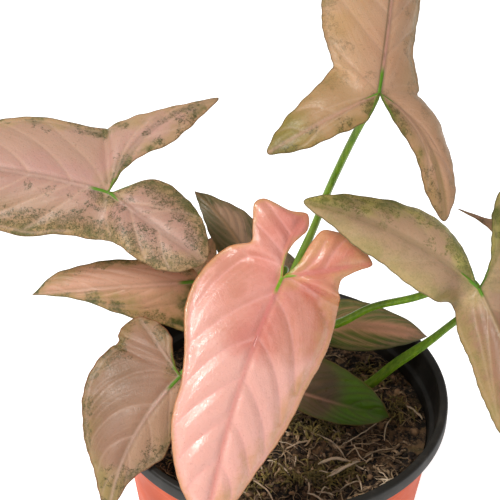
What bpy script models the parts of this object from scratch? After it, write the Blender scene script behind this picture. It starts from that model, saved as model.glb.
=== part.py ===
"""A pink arrowhead plant in a small two-tone nursery pot, as separate solids at real size.

The solids are the pot, the soil, three tufts of petioles and ten leaf blades. Sizes are written in
millimetres and turned into metres as the meshes are made. +Z is up, and the origin is the middle
of the pot's flat underside. The plant's front faces -Y.
"""

from dataclasses import dataclass
from math import cos, pi, radians, sin

import bmesh
import bpy
import numpy as np
from mathutils import Vector, noise

MM = 0.001
GAP = 0.3

POT_HEIGHT = 90.0
POT_BASE_RADIUS = 38.0
POT_RIM_RADIUS = 53.0
POT_WALL = 1.3
POT_FLOOR = 2.0
POT_FOOT_CHAMFER = 1.5
LEDGE_HEIGHT = 80.0
LEDGE_STEP = 1.6
LEDGE_BEVEL = 1.2
COLLAR_RADIUS = 50.6
COLLAR_TAPER = 0.2
LIP_HEIGHT = 5.0
LIP_INNER_RADIUS = 50.2
LIP_ROUND = 1.1
POT_SIDES = 72

DRAIN_SLOTS = 8
DRAIN_RADIUS = 29.0
DRAIN_LENGTH = 9.0
DRAIN_WIDTH = 3.4

SOIL_TOP = 78.0
SOIL_BUMP = 1.6
SOIL_BUMP_SIZE = 14.0
SOIL_EDGE_DROP = 1.2
SOIL_EVEN_EDGE = 0.9
SOIL_SIDES = 48
SOIL_RINGS = 9

BLADE_THICKNESS = 0.7
MAIN_COLUMNS = 10
LOBE_COLUMNS = 7
BLADE_ROWS = 3
MAIN_SWEEP = 0.65
FULL_REACH = 14.0

PETIOLE_SIDES = 8
PETIOLE_STEPS = 16
PETIOLE_FOOT_RADIUS = 1.9
PETIOLE_SHEATH_RADIUS = 1.5
PETIOLE_RADIUS = 1.15
PETIOLE_END_RADIUS = 0.8
PETIOLE_FOOT_SHARE = 0.25
PETIOLE_SHEATH_SHARE = 0.35
PETIOLE_SHEATH_FADE = 0.25
PETIOLE_ROOT_DEPTH = 2.0
PETIOLE_TURN = 4.0
PETIOLE_SEAT = 3.0
STEM_RADIUS = 4.2
STEM_ABOVE_SOIL = 5.0
STEM_BELOW_SOIL = 14.0
STEM_SIDES = 16
STEM_TAPER = 0.6

MERGE = 1e-6


@dataclass(frozen=True)
class Side:
    """One side of a blade: half of the main lobe, and the basal lobe behind it.

    Lengths are in millimetres and angles in degrees. The basal lobe has a rib of its own, from the
    blade's junction to tip. main is the distance from the main rib to the edge at the waist and at
    a quarter, a half and three quarters of the rib. outer and inner are those from the basal rib to
    the lobe's two edges, at a quarter, a half and three quarters of it; inner is on the sinus.

    forward is how far the waist lies ahead of the junction. lean swings the outer distances towards
    the lobe's tip, most at the quarter. fold is how far the main lobe's side turns down, droop is how
    much its edge then hangs, and vee is how far both sides of the basal lobe turn down. arch and bow
    curve the basal rib, upwards and outwards.
    """

    tip: tuple
    main: tuple
    outer: tuple
    inner: tuple
    forward: float = 0.0
    lean: float = 0.0
    fold: float = 10.0
    droop: float = 2.0
    arch: float = 2.0
    bow: float = 0.0
    vee: float = 10.0


@dataclass(frozen=True)
class Blade:
    """An arrowhead blade between its junction with the petiole and its tip, in millimetres.

    arch and bow curve the main rib, upwards and to the right. dome is how far the blade swells
    between a rib and the edge. The edge goes up and down by wave, waves times on each side, and
    phase shifts the waves of one side against the other's.
    """

    name: str
    colour: str
    junction: tuple
    tip: tuple
    left: Side
    right: Side
    arch: float = 4.0
    bow: float = 0.0
    dome: float = 1.2
    wave: float = 0.6
    waves: float = 3.5
    phase: float = 0.0


@dataclass(frozen=True)
class Petiole:
    """A leaf stalk, with the points in millimetres that it passes from its tuft's stem to its blade."""

    blade: str
    route: tuple


BLADES = (
    Blade(
        name="blade_front_pink",
        colour="pink",
        junction=(-0.5, -13.5, 148),
        tip=(-21, -67, 97),
        bow=-3.5,
        dome=1.6,
        wave=0.4,
        left=Side(
            tip=(6.5, -1.5, 162),
            main=(19.5, 22.5, 16.5, 13.5),
            forward=-1,
            outer=(10, 10.5, 14),
            inner=(0.5, 2, 3.5),
            bow=2.5,
        ),
        right=Side(
            tip=(26, -8, 149),
            main=(20.5, 22, 19.5, 12),
            forward=-1,
            outer=(11, 5, 3),
            inner=(5, 12, 10),
            lean=75,
        ),
    ),
    Blade(
        name="blade_left_big",
        colour="blush",
        junction=(-53, 17, 154),
        tip=(-134, 33, 150),
        bow=-2,
        wave=0.9,
        waves=4.2,
        phase=0.9,
        left=Side(
            tip=(-21, 48, 168),
            main=(23.5, 23.5, 19.5, 13),
            forward=9,
            outer=(14.5, 7, 3),
            inner=(2.5, 7.5, 6.5),
            bow=6,
            lean=45,
        ),
        right=Side(
            tip=(-23, -5, 146),
            main=(14.5, 18, 18.5, 12),
            outer=(12, 11, 8.5),
            inner=(14, 14.5, 11),
            bow=1,
        ),
    ),
    Blade(
        name="blade_top",
        colour="tan",
        junction=(25, -1, 205),
        tip=(31, 73, 228),
        wave=0.8,
        phase=1.8,
        left=Side(
            tip=(45, -16, 172),
            main=(14, 11, 12, 9),
            forward=10,
            fold=22,
            outer=(13, 9, 6),
            inner=(6, 5, 5.5),
            bow=6,
        ),
        right=Side(
            tip=(-6, -12.5, 192),
            main=(14, 18.5, 20, 14),
            forward=9,
            outer=(14, 11, 7),
            inner=(5.5, 6, 4.5),
        ),
    ),
    Blade(
        name="blade_right_big",
        colour="tan",
        junction=(57, -14, 146),
        tip=(79, -68, 112),
        dome=1.6,
        wave=0.7,
        phase=2.6,
        left=Side(
            tip=(5, -3, 168),
            main=(9, 11, 11, 10),
            fold=45,
            outer=(12, 10.5, 6.5),
            inner=(11.5, 12.5, 8.5),
            bow=-3,
        ),
        right=Side(
            tip=(68, 20, 160),
            main=(18, 24, 22, 14),
            outer=(9, 9, 6),
            inner=(0.5, 3.5, 5),
            bow=2,
        ),
    ),
    Blade(
        name="blade_low_left",
        colour="blush",
        junction=(-26, 11, 125),
        tip=(-77.5, 12, 117),
        dome=1.0,
        wave=0.4,
        left=Side(
            tip=(-22, 20, 135),
            main=(7, 7.5, 9, 7.5),
            outer=(5, 4, 3),
            inner=(2, 3, 3),
        ),
        right=Side(
            tip=(-16, 4, 116),
            main=(12, 11.5, 7, 1.5),
            outer=(6, 5, 4),
            inner=(2, 3, 3),
        ),
    ),
    Blade(
        name="blade_drooping_left",
        colour="blush",
        junction=(-30, -18, 112),
        tip=(-51, -45, 78),
        bow=-4,
        wave=0.9,
        waves=4.0,
        phase=0.5,
        left=Side(
            tip=(-43.5, -0.5, 120),
            main=(22.5, 23, 18, 7.5),
            forward=6,
            outer=(20, 16, 13),
            inner=(1, 4, 4),
            lean=48,
        ),
        right=Side(
            tip=(-18, -10, 111),
            main=(9, 8.5, 11, 4),
            outer=(6, 5, 4),
            inner=(3, 4, 4),
        ),
    ),
    Blade(
        name="blade_back_olive",
        colour="olive",
        junction=(-10, 22, 124),
        tip=(-28, 37, 140),
        dome=1.0,
        wave=0.4,
        left=Side(
            tip=(6, 28, 118),
            main=(11, 10, 8.5, 5),
            outer=(5, 5, 4),
            inner=(2, 3, 3),
        ),
        right=Side(
            tip=(-14, 12, 112),
            main=(8, 7, 6, 3.5),
            outer=(5, 5, 4),
            inner=(2, 3, 3),
        ),
    ),
    Blade(
        name="blade_right_olive",
        colour="olive",
        junction=(11.5, 16.5, 104),
        tip=(47.5, 24.5, 93),
        dome=1.0,
        wave=0.4,
        left=Side(
            tip=(1, 13, 100),
            main=(6, 7.5, 7, 4.5),
            outer=(4, 4, 3),
            inner=(2, 3, 3),
        ),
        right=Side(
            tip=(6, 27.5, 107),
            main=(8, 10, 8.5, 5.5),
            outer=(4, 4, 3),
            inner=(2, 3, 3),
        ),
    ),
    Blade(
        name="blade_juvenile",
        colour="green",
        junction=(1, -1, 93),
        tip=(35, -4, 84),
        dome=1.0,
        wave=0.4,
        left=Side(
            tip=(-9, -6, 90),
            main=(5, 6, 6.5, 5),
            fold=-25,
            outer=(4, 4, 3),
            inner=(2, 3, 3),
        ),
        right=Side(
            tip=(0, 3, 102),
            main=(11.5, 12.5, 10.5, 7.5),
            fold=0,
            outer=(3.5, 3, 2),
            inner=(2, 2, 1.5),
        ),
    ),
    Blade(
        name="blade_far_right",
        colour="blush",
        junction=(80, 8.5, 138),
        tip=(133, 45, 126),
        wave=0.8,
        phase=1.2,
        left=Side(
            tip=(80, -7, 122),
            main=(14, 18, 16, 10),
            outer=(7, 7, 5),
            inner=(3, 4, 3),
        ),
        right=Side(
            tip=(52.5, 18.5, 150),
            main=(14, 18, 16, 10),
            outer=(7, 5, 1.5),
            inner=(3, 3, 1),
        ),
    ),
)

TUFTS = (
    (
        "petioles_left",
        (-20, 10),
        (
            Petiole("blade_left_big", ((-24, 18, 105), (-38, 25, 134))),
            Petiole("blade_low_left", ((-22, 12, 100),)),
            Petiole("blade_drooping_left", ((-22, 4, 100),)),
            Petiole("blade_back_olive", ((-14, 14, 105),)),
        ),
    ),
    (
        "petioles_middle",
        (-6, 14),
        (
            Petiole("blade_front_pink", ((-4, 4, 115),)),
            Petiole(
                "blade_top",
                ((-3, 11, 105), (4.5, 10, 134), (9, 9, 149.5), (12.5, 7, 164.5), (20, 1, 192)),
            ),
            Petiole(
                "blade_right_big",
                ((-2, 11.5, 94), (8, 7.5, 108.5), (18, 2.5, 117), (27, 0, 125.5), (38, -5.5, 134)),
            ),
        ),
    ),
    (
        "petioles_right",
        (14, 10),
        (
            Petiole("blade_right_olive", ((11, 14, 92),)),
            Petiole("blade_juvenile", ((6, 4, 86),)),
            Petiole(
                "blade_far_right",
                ((27, 5, 88), (36, 5, 98), (46, 4, 109), (53, 2, 119), (66, 4, 130)),
            ),
        ),
    ),
)


def smooth(t):
    """Goes from 0 to 1 with no slope at either end."""
    t = np.clip(t, 0, 1)
    return t * t * (3 - 2 * t)


def unit(v):
    return v / np.linalg.norm(v, axis=-1, keepdims=True)


def turned(v, axis, degrees):
    """Each row of v turned about the same row of axis, which it is square to."""
    angle = np.radians(degrees)
    return np.cos(angle) * v + np.sin(angle) * np.cross(axis, v)


class Rib:
    """A vein that carries a strip of blade: a parabola that stands arch high and bows sideways."""

    def __init__(self, start, end, normal, arch, bow):
        self.start, self.end = start, end
        side = unit(np.cross(normal, end - start))
        self.control = (start + end) / 2 + 2 * arch * normal + 2 * bow * side

    def at(self, t):
        t = np.asarray(t)[:, None]
        inside = np.clip(t, 0, 1)
        points = (1 - inside) ** 2 * self.start + 2 * inside * (1 - inside) * self.control
        points = points + inside**2 * self.end
        return points + (t - inside) * 2 * (self.control - self.start)

    def along(self, t):
        t = np.clip(np.asarray(t), 0, 1)[:, None]
        return unit((1 - t) * (self.control - self.start) + t * (self.end - self.control))


def through(points, at):
    """A rounded curve through the points, read at places that count the points from 0."""
    points = np.asarray(points, float)
    points = np.concatenate([2 * points[:1] - points[1:2], points, 2 * points[-1:] - points[-2:-1]])
    first = np.clip(np.floor(at).astype(int), 0, len(points) - 4)
    a, b, c, d = (points[first + step] for step in range(4))
    knots = [np.zeros(len(first))]
    for start, end in ((a, b), (b, c), (c, d)):
        knots.append(knots[-1] + np.sqrt(np.linalg.norm(end - start, axis=1)) + 1e-9)
    place = knots[1] + (at - first) * (knots[2] - knots[1])

    def mix(p, q, low, high):
        part = ((place - knots[low]) / (knots[high] - knots[low]))[:, None]
        return p + (q - p) * part

    ab, bc, cd = mix(a, b, 0, 1), mix(b, c, 1, 2), mix(c, d, 2, 3)
    return mix(mix(ab, bc, 0, 2), mix(bc, cd, 1, 3), 1, 2)


QUARTERS = np.array([0.25, 0.5, 0.75])
BASAL_TIP, WAIST, MAIN_TIP = 4, 8, 12


class BladeSurface:
    """The top face of a blade, as strips that run from its ribs to its edge."""

    def __init__(self, blade):
        self.blade = blade
        self.start = np.array(blade.junction, float)
        self.end = np.array(blade.tip, float)
        self.length = np.linalg.norm(self.end - self.start)
        left, right = np.array(blade.left.tip, float), np.array(blade.right.tip, float)
        self.normal = unit(np.cross(left - right, self.end - self.start))
        self.main = Rib(self.start, self.end, self.normal, blade.arch, blade.bow)
        self.basal = {
            1: Rib(self.start, left, self.normal, blade.left.arch, blade.left.bow),
            -1: Rib(self.start, right, self.normal, blade.right.arch, -blade.right.bow),
        }

    def side(self, hand):
        return self.blade.left if hand > 0 else self.blade.right

    def main_edge(self, hand):
        """The main lobe's edge at its waist and at each quarter of its rib."""
        side = self.side(hand)
        at = np.concatenate([[side.forward / self.length], QUARTERS])
        along = self.main.along(at)
        out = turned(hand * unit(np.cross(along, self.normal)), hand * along, side.fold)
        width = np.array(side.main, float)[:, None]
        return self.main.at(at) + width * out - side.droop * (width / max(side.main)) ** 2 * self.normal

    def basal_edge(self, hand, outer):
        """The basal lobe's outer edge or its sinus edge, at each quarter of its rib."""
        side, rib = self.side(hand), self.basal[hand]
        along = rib.along(QUARTERS)
        sign = hand if outer else -hand
        across = sign * unit(np.cross(self.normal, along))
        out = turned(across, -sign * along, side.vee)
        lean = np.radians(side.lean * outer * (1 - QUARTERS) / (1 - QUARTERS[0]))[:, None]
        width = np.array(side.outer if outer else side.inner, float)[:, None]
        return rib.at(QUARTERS) + width * (np.cos(lean) * out + np.sin(lean) * along)

    def edge(self, hand):
        """The whole edge of one side in 13 points.

        The junction is the first, the basal lobe's tip is number BASAL_TIP counted from 0, the
        waist is number WAIST, and the main tip is the last.
        """
        return np.concatenate(
            [
                self.start[None],
                self.basal_edge(hand, outer=False),
                self.basal[hand].end[None],
                self.basal_edge(hand, outer=True)[::-1],
                self.main_edge(hand),
                self.end[None],
            ]
        )

    def half(self, hand, main_columns, lobe_columns):
        """The rib point and the edge point of each column, from the sinus to the main tip."""
        basal = np.linspace(0, 1, lobe_columns + 1)
        main = np.linspace(0, 1, main_columns + 1)
        rib = self.basal[hand]
        ribs = [rib.at(basal), rib.at(basal[::-1])[1:], self.main.at(main)[1:]]
        places = [
            BASAL_TIP * basal,
            BASAL_TIP + (WAIST - BASAL_TIP) * basal[1:],
            WAIST + (MAIN_TIP - WAIST) * main[1:] ** MAIN_SWEEP,
        ]
        return np.concatenate(ribs), through(self.edge(hand), np.concatenate(places))

    def points(self, main_columns, lobe_columns, rows):
        """The grid of points, one row of it from rib to edge for each column."""
        left_rib, left_edge = self.half(1, main_columns, lobe_columns)
        right_rib, right_edge = self.half(-1, main_columns, lobe_columns)
        rib = np.concatenate([left_rib, right_rib[::-1][1:]])[:, None]
        edge = np.concatenate([left_edge, right_edge[::-1][1:]])[:, None]
        out = np.linspace(0, 1, rows + 1)[None, :, None]
        reach = np.clip(np.linalg.norm(edge - rib, axis=-1, keepdims=True) / FULL_REACH, 0, 1)
        turns = np.linspace(-1, 1, len(rib))[:, None, None]
        ripple = np.sin(2 * pi * self.blade.waves * np.abs(turns) + self.blade.phase * np.sign(turns))
        lift = self.blade.wave * ripple * out**2 + self.blade.dome * 4 * out * (1 - out)
        return rib + out * (edge - rib) + reach * lift * self.normal


def collection_objects():
    return bpy.context.scene.collection.objects


def material(name, colour, roughness):
    made = bpy.data.materials.new(name)
    made.use_nodes = True
    shader = made.node_tree.nodes["Principled BSDF"]
    shader.inputs["Base Color"].default_value = (*colour, 1)
    shader.inputs["Roughness"].default_value = roughness
    return made


def add_object(name, mesh, finish):
    obj = bpy.data.objects.new(name, mesh)
    if finish:
        mesh.materials.append(finish)
    collection_objects().link(obj)
    return obj


def mesh_from(bm, name):
    mesh = bpy.data.meshes.new(name)
    bm.to_mesh(mesh)
    bm.free()
    mesh.shade_smooth()
    return mesh


def make_blade(blade, finish):
    """A flat grid bent onto the blade's surface, split into triangles, then given its thickness."""
    columns = 2 * MAIN_COLUMNS + 4 * LOBE_COLUMNS
    points = BladeSurface(blade).points(MAIN_COLUMNS, LOBE_COLUMNS, BLADE_ROWS) * MM
    bm = bmesh.new()
    bmesh.ops.create_grid(bm, x_segments=columns, y_segments=BLADE_ROWS, size=0.5)
    for vert in bm.verts:
        column = round((vert.co.x + 0.5) * columns)
        row = round((vert.co.y + 0.5) * BLADE_ROWS)
        vert.co = points[column, row]
    bmesh.ops.remove_doubles(bm, verts=bm.verts, dist=MERGE)
    bmesh.ops.triangulate(bm, faces=bm.faces, quad_method="FIXED")
    bmesh.ops.recalc_face_normals(bm, faces=bm.faces)
    up = Vector(BladeSurface(blade).normal)
    if sum((face.normal.dot(up) * face.calc_area() for face in bm.faces)) < 0:
        bmesh.ops.reverse_faces(bm, faces=bm.faces)
    obj = add_object(blade.name, mesh_from(bm, blade.name), finish)
    solid = obj.modifiers.new("thickness", "SOLIDIFY")
    solid.thickness = BLADE_THICKNESS * MM
    solid.offset = -1
    return obj


def smooth_path(points, steps):
    """A rounded path through the points, read at even steps."""
    fine = through(points, np.linspace(0, len(points) - 1, 24 * len(points)))
    length = np.concatenate([[0], np.cumsum(np.linalg.norm(np.diff(fine, axis=0), axis=1))])
    at = np.linspace(0, length[-1], steps + 1)
    return np.stack([np.interp(at, length, fine[:, axis]) for axis in range(3)], axis=1)


def petiole_path(petiole, tuft_place):
    """From inside the tuft's stem to just under the blade's junction, where it lies along the rib."""
    surface = BladeSurface(next(blade for blade in BLADES if blade.name == petiole.blade))
    under = BLADE_THICKNESS + GAP + PETIOLE_RADIUS
    ahead = surface.main.along([0.0])[0]
    below = surface.start - under * surface.normal
    start = np.array([*tuft_place, SOIL_TOP - PETIOLE_ROOT_DEPTH], float)
    route = [np.array(point, float) for point in petiole.route]
    return np.array([start, *route, below - PETIOLE_TURN * ahead, below + PETIOLE_SEAT * ahead])


def make_tube(name, path, radii):
    """A round stalk with closed ends that follows the path."""
    curve = bpy.data.curves.new(name, "CURVE")
    curve.dimensions = "3D"
    curve.bevel_depth = MM
    curve.bevel_resolution = PETIOLE_SIDES // 2 - 2
    curve.use_fill_caps = True
    spline = curve.splines.new("POLY")
    spline.points.add(len(path) - 1)
    for point, place, radius in zip(spline.points, path * MM, radii):
        point.co = (*place, 1)
        point.radius = radius
    guide = bpy.data.objects.new(name, curve)
    collection_objects().link(guide)
    mesh = bpy.data.meshes.new_from_object(guide.evaluated_get(bpy.context.evaluated_depsgraph_get()))
    bpy.data.objects.remove(guide)
    return mesh


def make_petiole(petiole, tuft_place):
    path = smooth_path(petiole_path(petiole, tuft_place), PETIOLE_STEPS)
    t = np.linspace(0, 1, PETIOLE_STEPS + 1)
    foot = 1 - smooth(t / PETIOLE_FOOT_SHARE)
    sheath = PETIOLE_SHEATH_RADIUS + (PETIOLE_FOOT_RADIUS - PETIOLE_SHEATH_RADIUS) * foot
    bare = smooth((t - PETIOLE_SHEATH_SHARE) / PETIOLE_SHEATH_FADE)
    radii = sheath + (PETIOLE_RADIUS - sheath) * bare
    radii[-1] = PETIOLE_END_RADIUS
    return add_object(petiole.blade + "_petiole", make_tube(petiole.blade, path, radii), None)


def make_tuft(name, place, petioles, finish):
    """A short stem in the soil with its petioles, joined into one body."""
    bm = bmesh.new()
    depth = STEM_ABOVE_SOIL + STEM_BELOW_SOIL
    middle = SOIL_TOP + STEM_ABOVE_SOIL - depth / 2
    bmesh.ops.create_cone(
        bm,
        cap_ends=True,
        segments=STEM_SIDES,
        radius1=STEM_RADIUS * MM,
        radius2=STEM_RADIUS * STEM_TAPER * MM,
        depth=depth * MM,
    )
    bmesh.ops.translate(bm, verts=bm.verts, vec=Vector((*place, middle)) * MM)
    stem = add_object(name, mesh_from(bm, name), finish)
    parts = bpy.data.collections.new(name + "_parts")
    for petiole in petioles:
        tube = make_petiole(petiole, place)
        parts.objects.link(tube)
        collection_objects().unlink(tube)
    join = stem.modifiers.new("join", "BOOLEAN")
    join.operand_type = "COLLECTION"
    join.collection = parts
    join.operation = "UNION"
    join.solver = "EXACT"
    graph = bpy.context.evaluated_depsgraph_get()
    joined = bpy.data.meshes.new_from_object(stem.evaluated_get(graph))
    stem.modifiers.clear()
    stem.data = joined
    for tube in list(parts.objects):
        bpy.data.objects.remove(tube)
    bpy.data.collections.remove(parts)
    return stem


def outer_radius(z):
    """The pot's outside below its collar."""
    return POT_BASE_RADIUS + (COLLAR_RADIUS - LEDGE_STEP - POT_BASE_RADIUS) * z / LEDGE_HEIGHT


def pot_profile():
    """Half of the pot's section: up the inside, over the lip, and down the outside."""
    rim_start = POT_HEIGHT - LIP_HEIGHT
    lip = [
        (LIP_INNER_RADIUS, rim_start),
        (LIP_INNER_RADIUS, POT_HEIGHT - LIP_ROUND),
    ]
    for angle in (180, 120, 60, 0):
        middle = LIP_INNER_RADIUS + LIP_ROUND if angle > 90 else POT_RIM_RADIUS - LIP_ROUND
        lip.append(
            (
                middle + LIP_ROUND * cos(radians(angle)),
                POT_HEIGHT - LIP_ROUND + LIP_ROUND * sin(radians(angle)),
            )
        )
    return [
        (0, POT_FLOOR),
        (outer_radius(POT_FLOOR) - POT_WALL, POT_FLOOR),
        (outer_radius(LEDGE_HEIGHT) - POT_WALL, LEDGE_HEIGHT),
        (COLLAR_RADIUS - POT_WALL, LEDGE_HEIGHT + LEDGE_BEVEL),
        *lip[:1],
        *lip[2:],
        (POT_RIM_RADIUS, rim_start + LIP_ROUND / 2),
        (POT_RIM_RADIUS - LIP_ROUND / 2, rim_start),
        (COLLAR_RADIUS + COLLAR_TAPER, rim_start),
        (COLLAR_RADIUS, LEDGE_HEIGHT),
        (outer_radius(LEDGE_HEIGHT - LEDGE_BEVEL), LEDGE_HEIGHT - LEDGE_BEVEL),
        (outer_radius(POT_FOOT_CHAMFER), POT_FOOT_CHAMFER),
        (POT_BASE_RADIUS - POT_FOOT_CHAMFER, 0),
        (0, 0),
    ]


def revolve(bm, profile, sides):
    """Turns a profile of (radius, height) points about Z into a closed body."""
    verts = [bm.verts.new((radius * MM, 0, height * MM)) for radius, height in profile]
    edges = [bm.edges.new(pair) for pair in zip(verts, verts[1:])]
    bmesh.ops.spin(
        bm,
        geom=verts + edges,
        axis=(0, 0, 1),
        cent=(0, 0, 0),
        angle=2 * pi,
        steps=sides,
        use_merge=True,
    )
    bmesh.ops.remove_doubles(bm, verts=bm.verts, dist=MERGE)
    bmesh.ops.recalc_face_normals(bm, faces=bm.faces)


def cut(obj, cutters):
    """Leaves the cutters out of the model, and cuts them from the object."""
    for cutter in cutters:
        cutter.hide_render = True
        cutter.display_type = "WIRE"
        modifier = obj.modifiers.new(cutter.name, "BOOLEAN")
        modifier.operation = "DIFFERENCE"
        modifier.solver = "EXACT"
        modifier.object = cutter


def make_pot(finishes):
    bm = bmesh.new()
    revolve(bm, pot_profile(), POT_SIDES)
    for face in bm.faces:
        middle = face.calc_center_median()
        across = Vector((middle.x, middle.y, 0))
        faces_out = face.normal.dot(across) > 0
        below_lip = middle.z < (POT_HEIGHT - LIP_HEIGHT + 0.1) * MM
        face.material_index = 0 if faces_out and below_lip else 1
    pot = add_object("nursery_pot", mesh_from(bm, "nursery_pot"), finishes["terracotta"])
    pot.data.materials.append(finishes["black"])
    slots = bmesh.new()
    bmesh.ops.create_cube(slots, size=1)
    bmesh.ops.scale(slots, verts=slots.verts, vec=Vector((DRAIN_LENGTH, DRAIN_WIDTH, 3 * POT_FLOOR)) * MM)
    mesh = mesh_from(slots, "drain_slot")
    cutters = []
    for number in range(DRAIN_SLOTS):
        slot = add_object("drain_slot_" + str(number + 1), mesh, None)
        angle = 2 * pi * number / DRAIN_SLOTS
        slot.location = (DRAIN_RADIUS * MM * cos(angle), DRAIN_RADIUS * MM * sin(angle), 0)
        slot.rotation_euler.z = angle
        cutters.append(slot)
    cut(pot, cutters)
    return pot


def make_soil(finish):
    """Fills the pot to just above its ledge, with an uneven top and a plain hole for each tuft."""
    top_radius = outer_radius(SOIL_TOP) - POT_WALL - GAP
    floor = POT_FLOOR + GAP
    profile = [(top_radius * ring / SOIL_RINGS, SOIL_TOP) for ring in range(SOIL_RINGS + 1)]
    profile.append((outer_radius(floor) - POT_WALL - GAP, floor))
    profile.append((0, floor))
    bm = bmesh.new()
    revolve(bm, profile, SOIL_SIDES)
    for vert in bm.verts:
        if vert.co.z < SOIL_TOP / 2 * MM:
            continue
        radius = vert.co.to_2d().length / MM / top_radius
        uneven = 1 - smooth((radius - SOIL_EVEN_EDGE) / (1 - SOIL_EVEN_EDGE))
        height = SOIL_BUMP * uneven * noise.noise(vert.co / (SOIL_BUMP_SIZE * MM))
        vert.co.z += (height - SOIL_EDGE_DROP * radius**6) * MM
    soil = add_object("potting_soil", mesh_from(bm, "potting_soil"), finish)
    holes = []
    for name, place, _ in TUFTS:
        hole = bmesh.new()
        depth = 2 * (STEM_BELOW_SOIL + GAP)
        bmesh.ops.create_cone(
            hole,
            cap_ends=True,
            segments=STEM_SIDES,
            radius1=(STEM_RADIUS + GAP) * MM,
            radius2=(STEM_RADIUS + GAP) * MM,
            depth=depth * MM,
        )
        bmesh.ops.translate(hole, verts=hole.verts, vec=Vector((*place, SOIL_TOP)) * MM)
        holes.append(add_object(name + "_hole", mesh_from(hole, name + "_hole"), None))
    cut(soil, holes)
    return soil


def main():
    for obj in list(bpy.data.objects):
        bpy.data.objects.remove(obj)
    finishes = {
        "terracotta": material("terracotta", (0.62, 0.16, 0.075), 0.45),
        "black": material("black", (0.018, 0.017, 0.016), 0.4),
        "soil": material("soil", (0.03, 0.018, 0.009), 0.95),
        "stalk": material("stalk", (0.13, 0.26, 0.03), 0.4),
        "pink": material("pink", (0.72, 0.27, 0.21), 0.4),
        "blush": material("blush", (0.5, 0.3, 0.22), 0.45),
        "tan": material("tan", (0.42, 0.27, 0.17), 0.45),
        "olive": material("olive", (0.12, 0.12, 0.05), 0.4),
        "green": material("green", (0.05, 0.08, 0.02), 0.4),
    }
    make_pot(finishes)
    make_soil(finishes["soil"])
    for name, place, petioles in TUFTS:
        make_tuft(name, place, petioles, finishes["stalk"])
    for blade in BLADES:
        make_blade(blade, finishes[blade.colour])


main()
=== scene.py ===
"""Dresses the potted pink arrowhead plant, its pot, soil, stalks and blades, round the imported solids.

The dataclasses hold lengths in millimetres and angles in degrees, and MM turns them into metres as the
meshes are made. +Z is up, the origin is the middle of the pot's underside, and the front faces -Y.
"""

import logging
from collections.abc import Callable, Iterable, Sequence
from dataclasses import dataclass, replace
from enum import Enum
from math import cos, radians, sin, tau

import bmesh
import bpy
import numpy as np
from mathutils import Matrix, Vector, kdtree, noise


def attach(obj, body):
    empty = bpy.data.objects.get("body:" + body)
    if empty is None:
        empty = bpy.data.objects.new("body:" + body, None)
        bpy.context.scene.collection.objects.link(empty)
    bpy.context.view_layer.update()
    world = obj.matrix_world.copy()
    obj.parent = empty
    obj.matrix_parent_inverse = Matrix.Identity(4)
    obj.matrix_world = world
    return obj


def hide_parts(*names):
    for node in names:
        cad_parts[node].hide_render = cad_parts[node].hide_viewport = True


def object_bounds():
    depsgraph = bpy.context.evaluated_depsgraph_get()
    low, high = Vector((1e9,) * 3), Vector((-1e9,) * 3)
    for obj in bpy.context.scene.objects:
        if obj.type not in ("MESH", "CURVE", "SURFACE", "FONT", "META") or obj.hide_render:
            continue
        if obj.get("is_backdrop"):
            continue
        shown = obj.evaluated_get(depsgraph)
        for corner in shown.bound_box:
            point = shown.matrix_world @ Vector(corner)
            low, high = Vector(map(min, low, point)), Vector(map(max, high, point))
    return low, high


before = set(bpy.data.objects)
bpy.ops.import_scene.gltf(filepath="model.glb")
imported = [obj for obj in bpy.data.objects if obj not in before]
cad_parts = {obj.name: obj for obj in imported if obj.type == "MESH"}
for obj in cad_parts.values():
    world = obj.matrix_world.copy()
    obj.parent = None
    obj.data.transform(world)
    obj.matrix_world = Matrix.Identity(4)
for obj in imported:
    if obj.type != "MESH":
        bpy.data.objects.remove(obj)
CAD_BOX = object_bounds()

MM = 0.001
MERGE = 1e-6
FINE_MERGE = 1e-7
ROOT = "root"
LOG = logging.getLogger("potted_syngonium")

Point = tuple[float, float, float]
Flat = tuple[float, float]
Colour = tuple[float, float, float]
Array = np.ndarray
Mesh = bmesh.types.BMesh
Piece = bpy.types.Object
Material = bpy.types.Material
Socket = bpy.types.NodeSocket
Number = Socket | float
Strands = list[tuple[Array, float, float]]


def srgb(red: int, green: int, blue: int) -> Colour:
    """Turns a screen colour of 0 to 255 into the linear colour that a shader takes."""
    shares = (value / 255 for value in (red, green, blue))
    return tuple(s / 12.92 if s <= 0.04045 else ((s + 0.055) / 1.055) ** 2.4 for s in shares)


def smooth(t: Array | float) -> Array:
    """Goes from 0 to 1 with no slope at either end."""
    t = np.clip(t, 0, 1)
    return t * t * (3 - 2 * t)


def unit(v: Array) -> Array:
    """Scales each vector of the last axis to length 1."""
    return v / np.maximum(np.linalg.norm(v, axis=-1, keepdims=True), 1e-12)


def turned(v: Array, axis: Array, degrees: float | Array) -> Array:
    """Turns each row of v about the same row of axis, which it is square to.

    Args:
        v: Vectors, one a row.
        axis: Unit vectors to turn about.
        degrees: How far to turn.

    Returns:
        The turned vectors.
    """
    angle = np.radians(degrees)
    return np.cos(angle) * v + np.sin(angle) * np.cross(axis, v)


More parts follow.
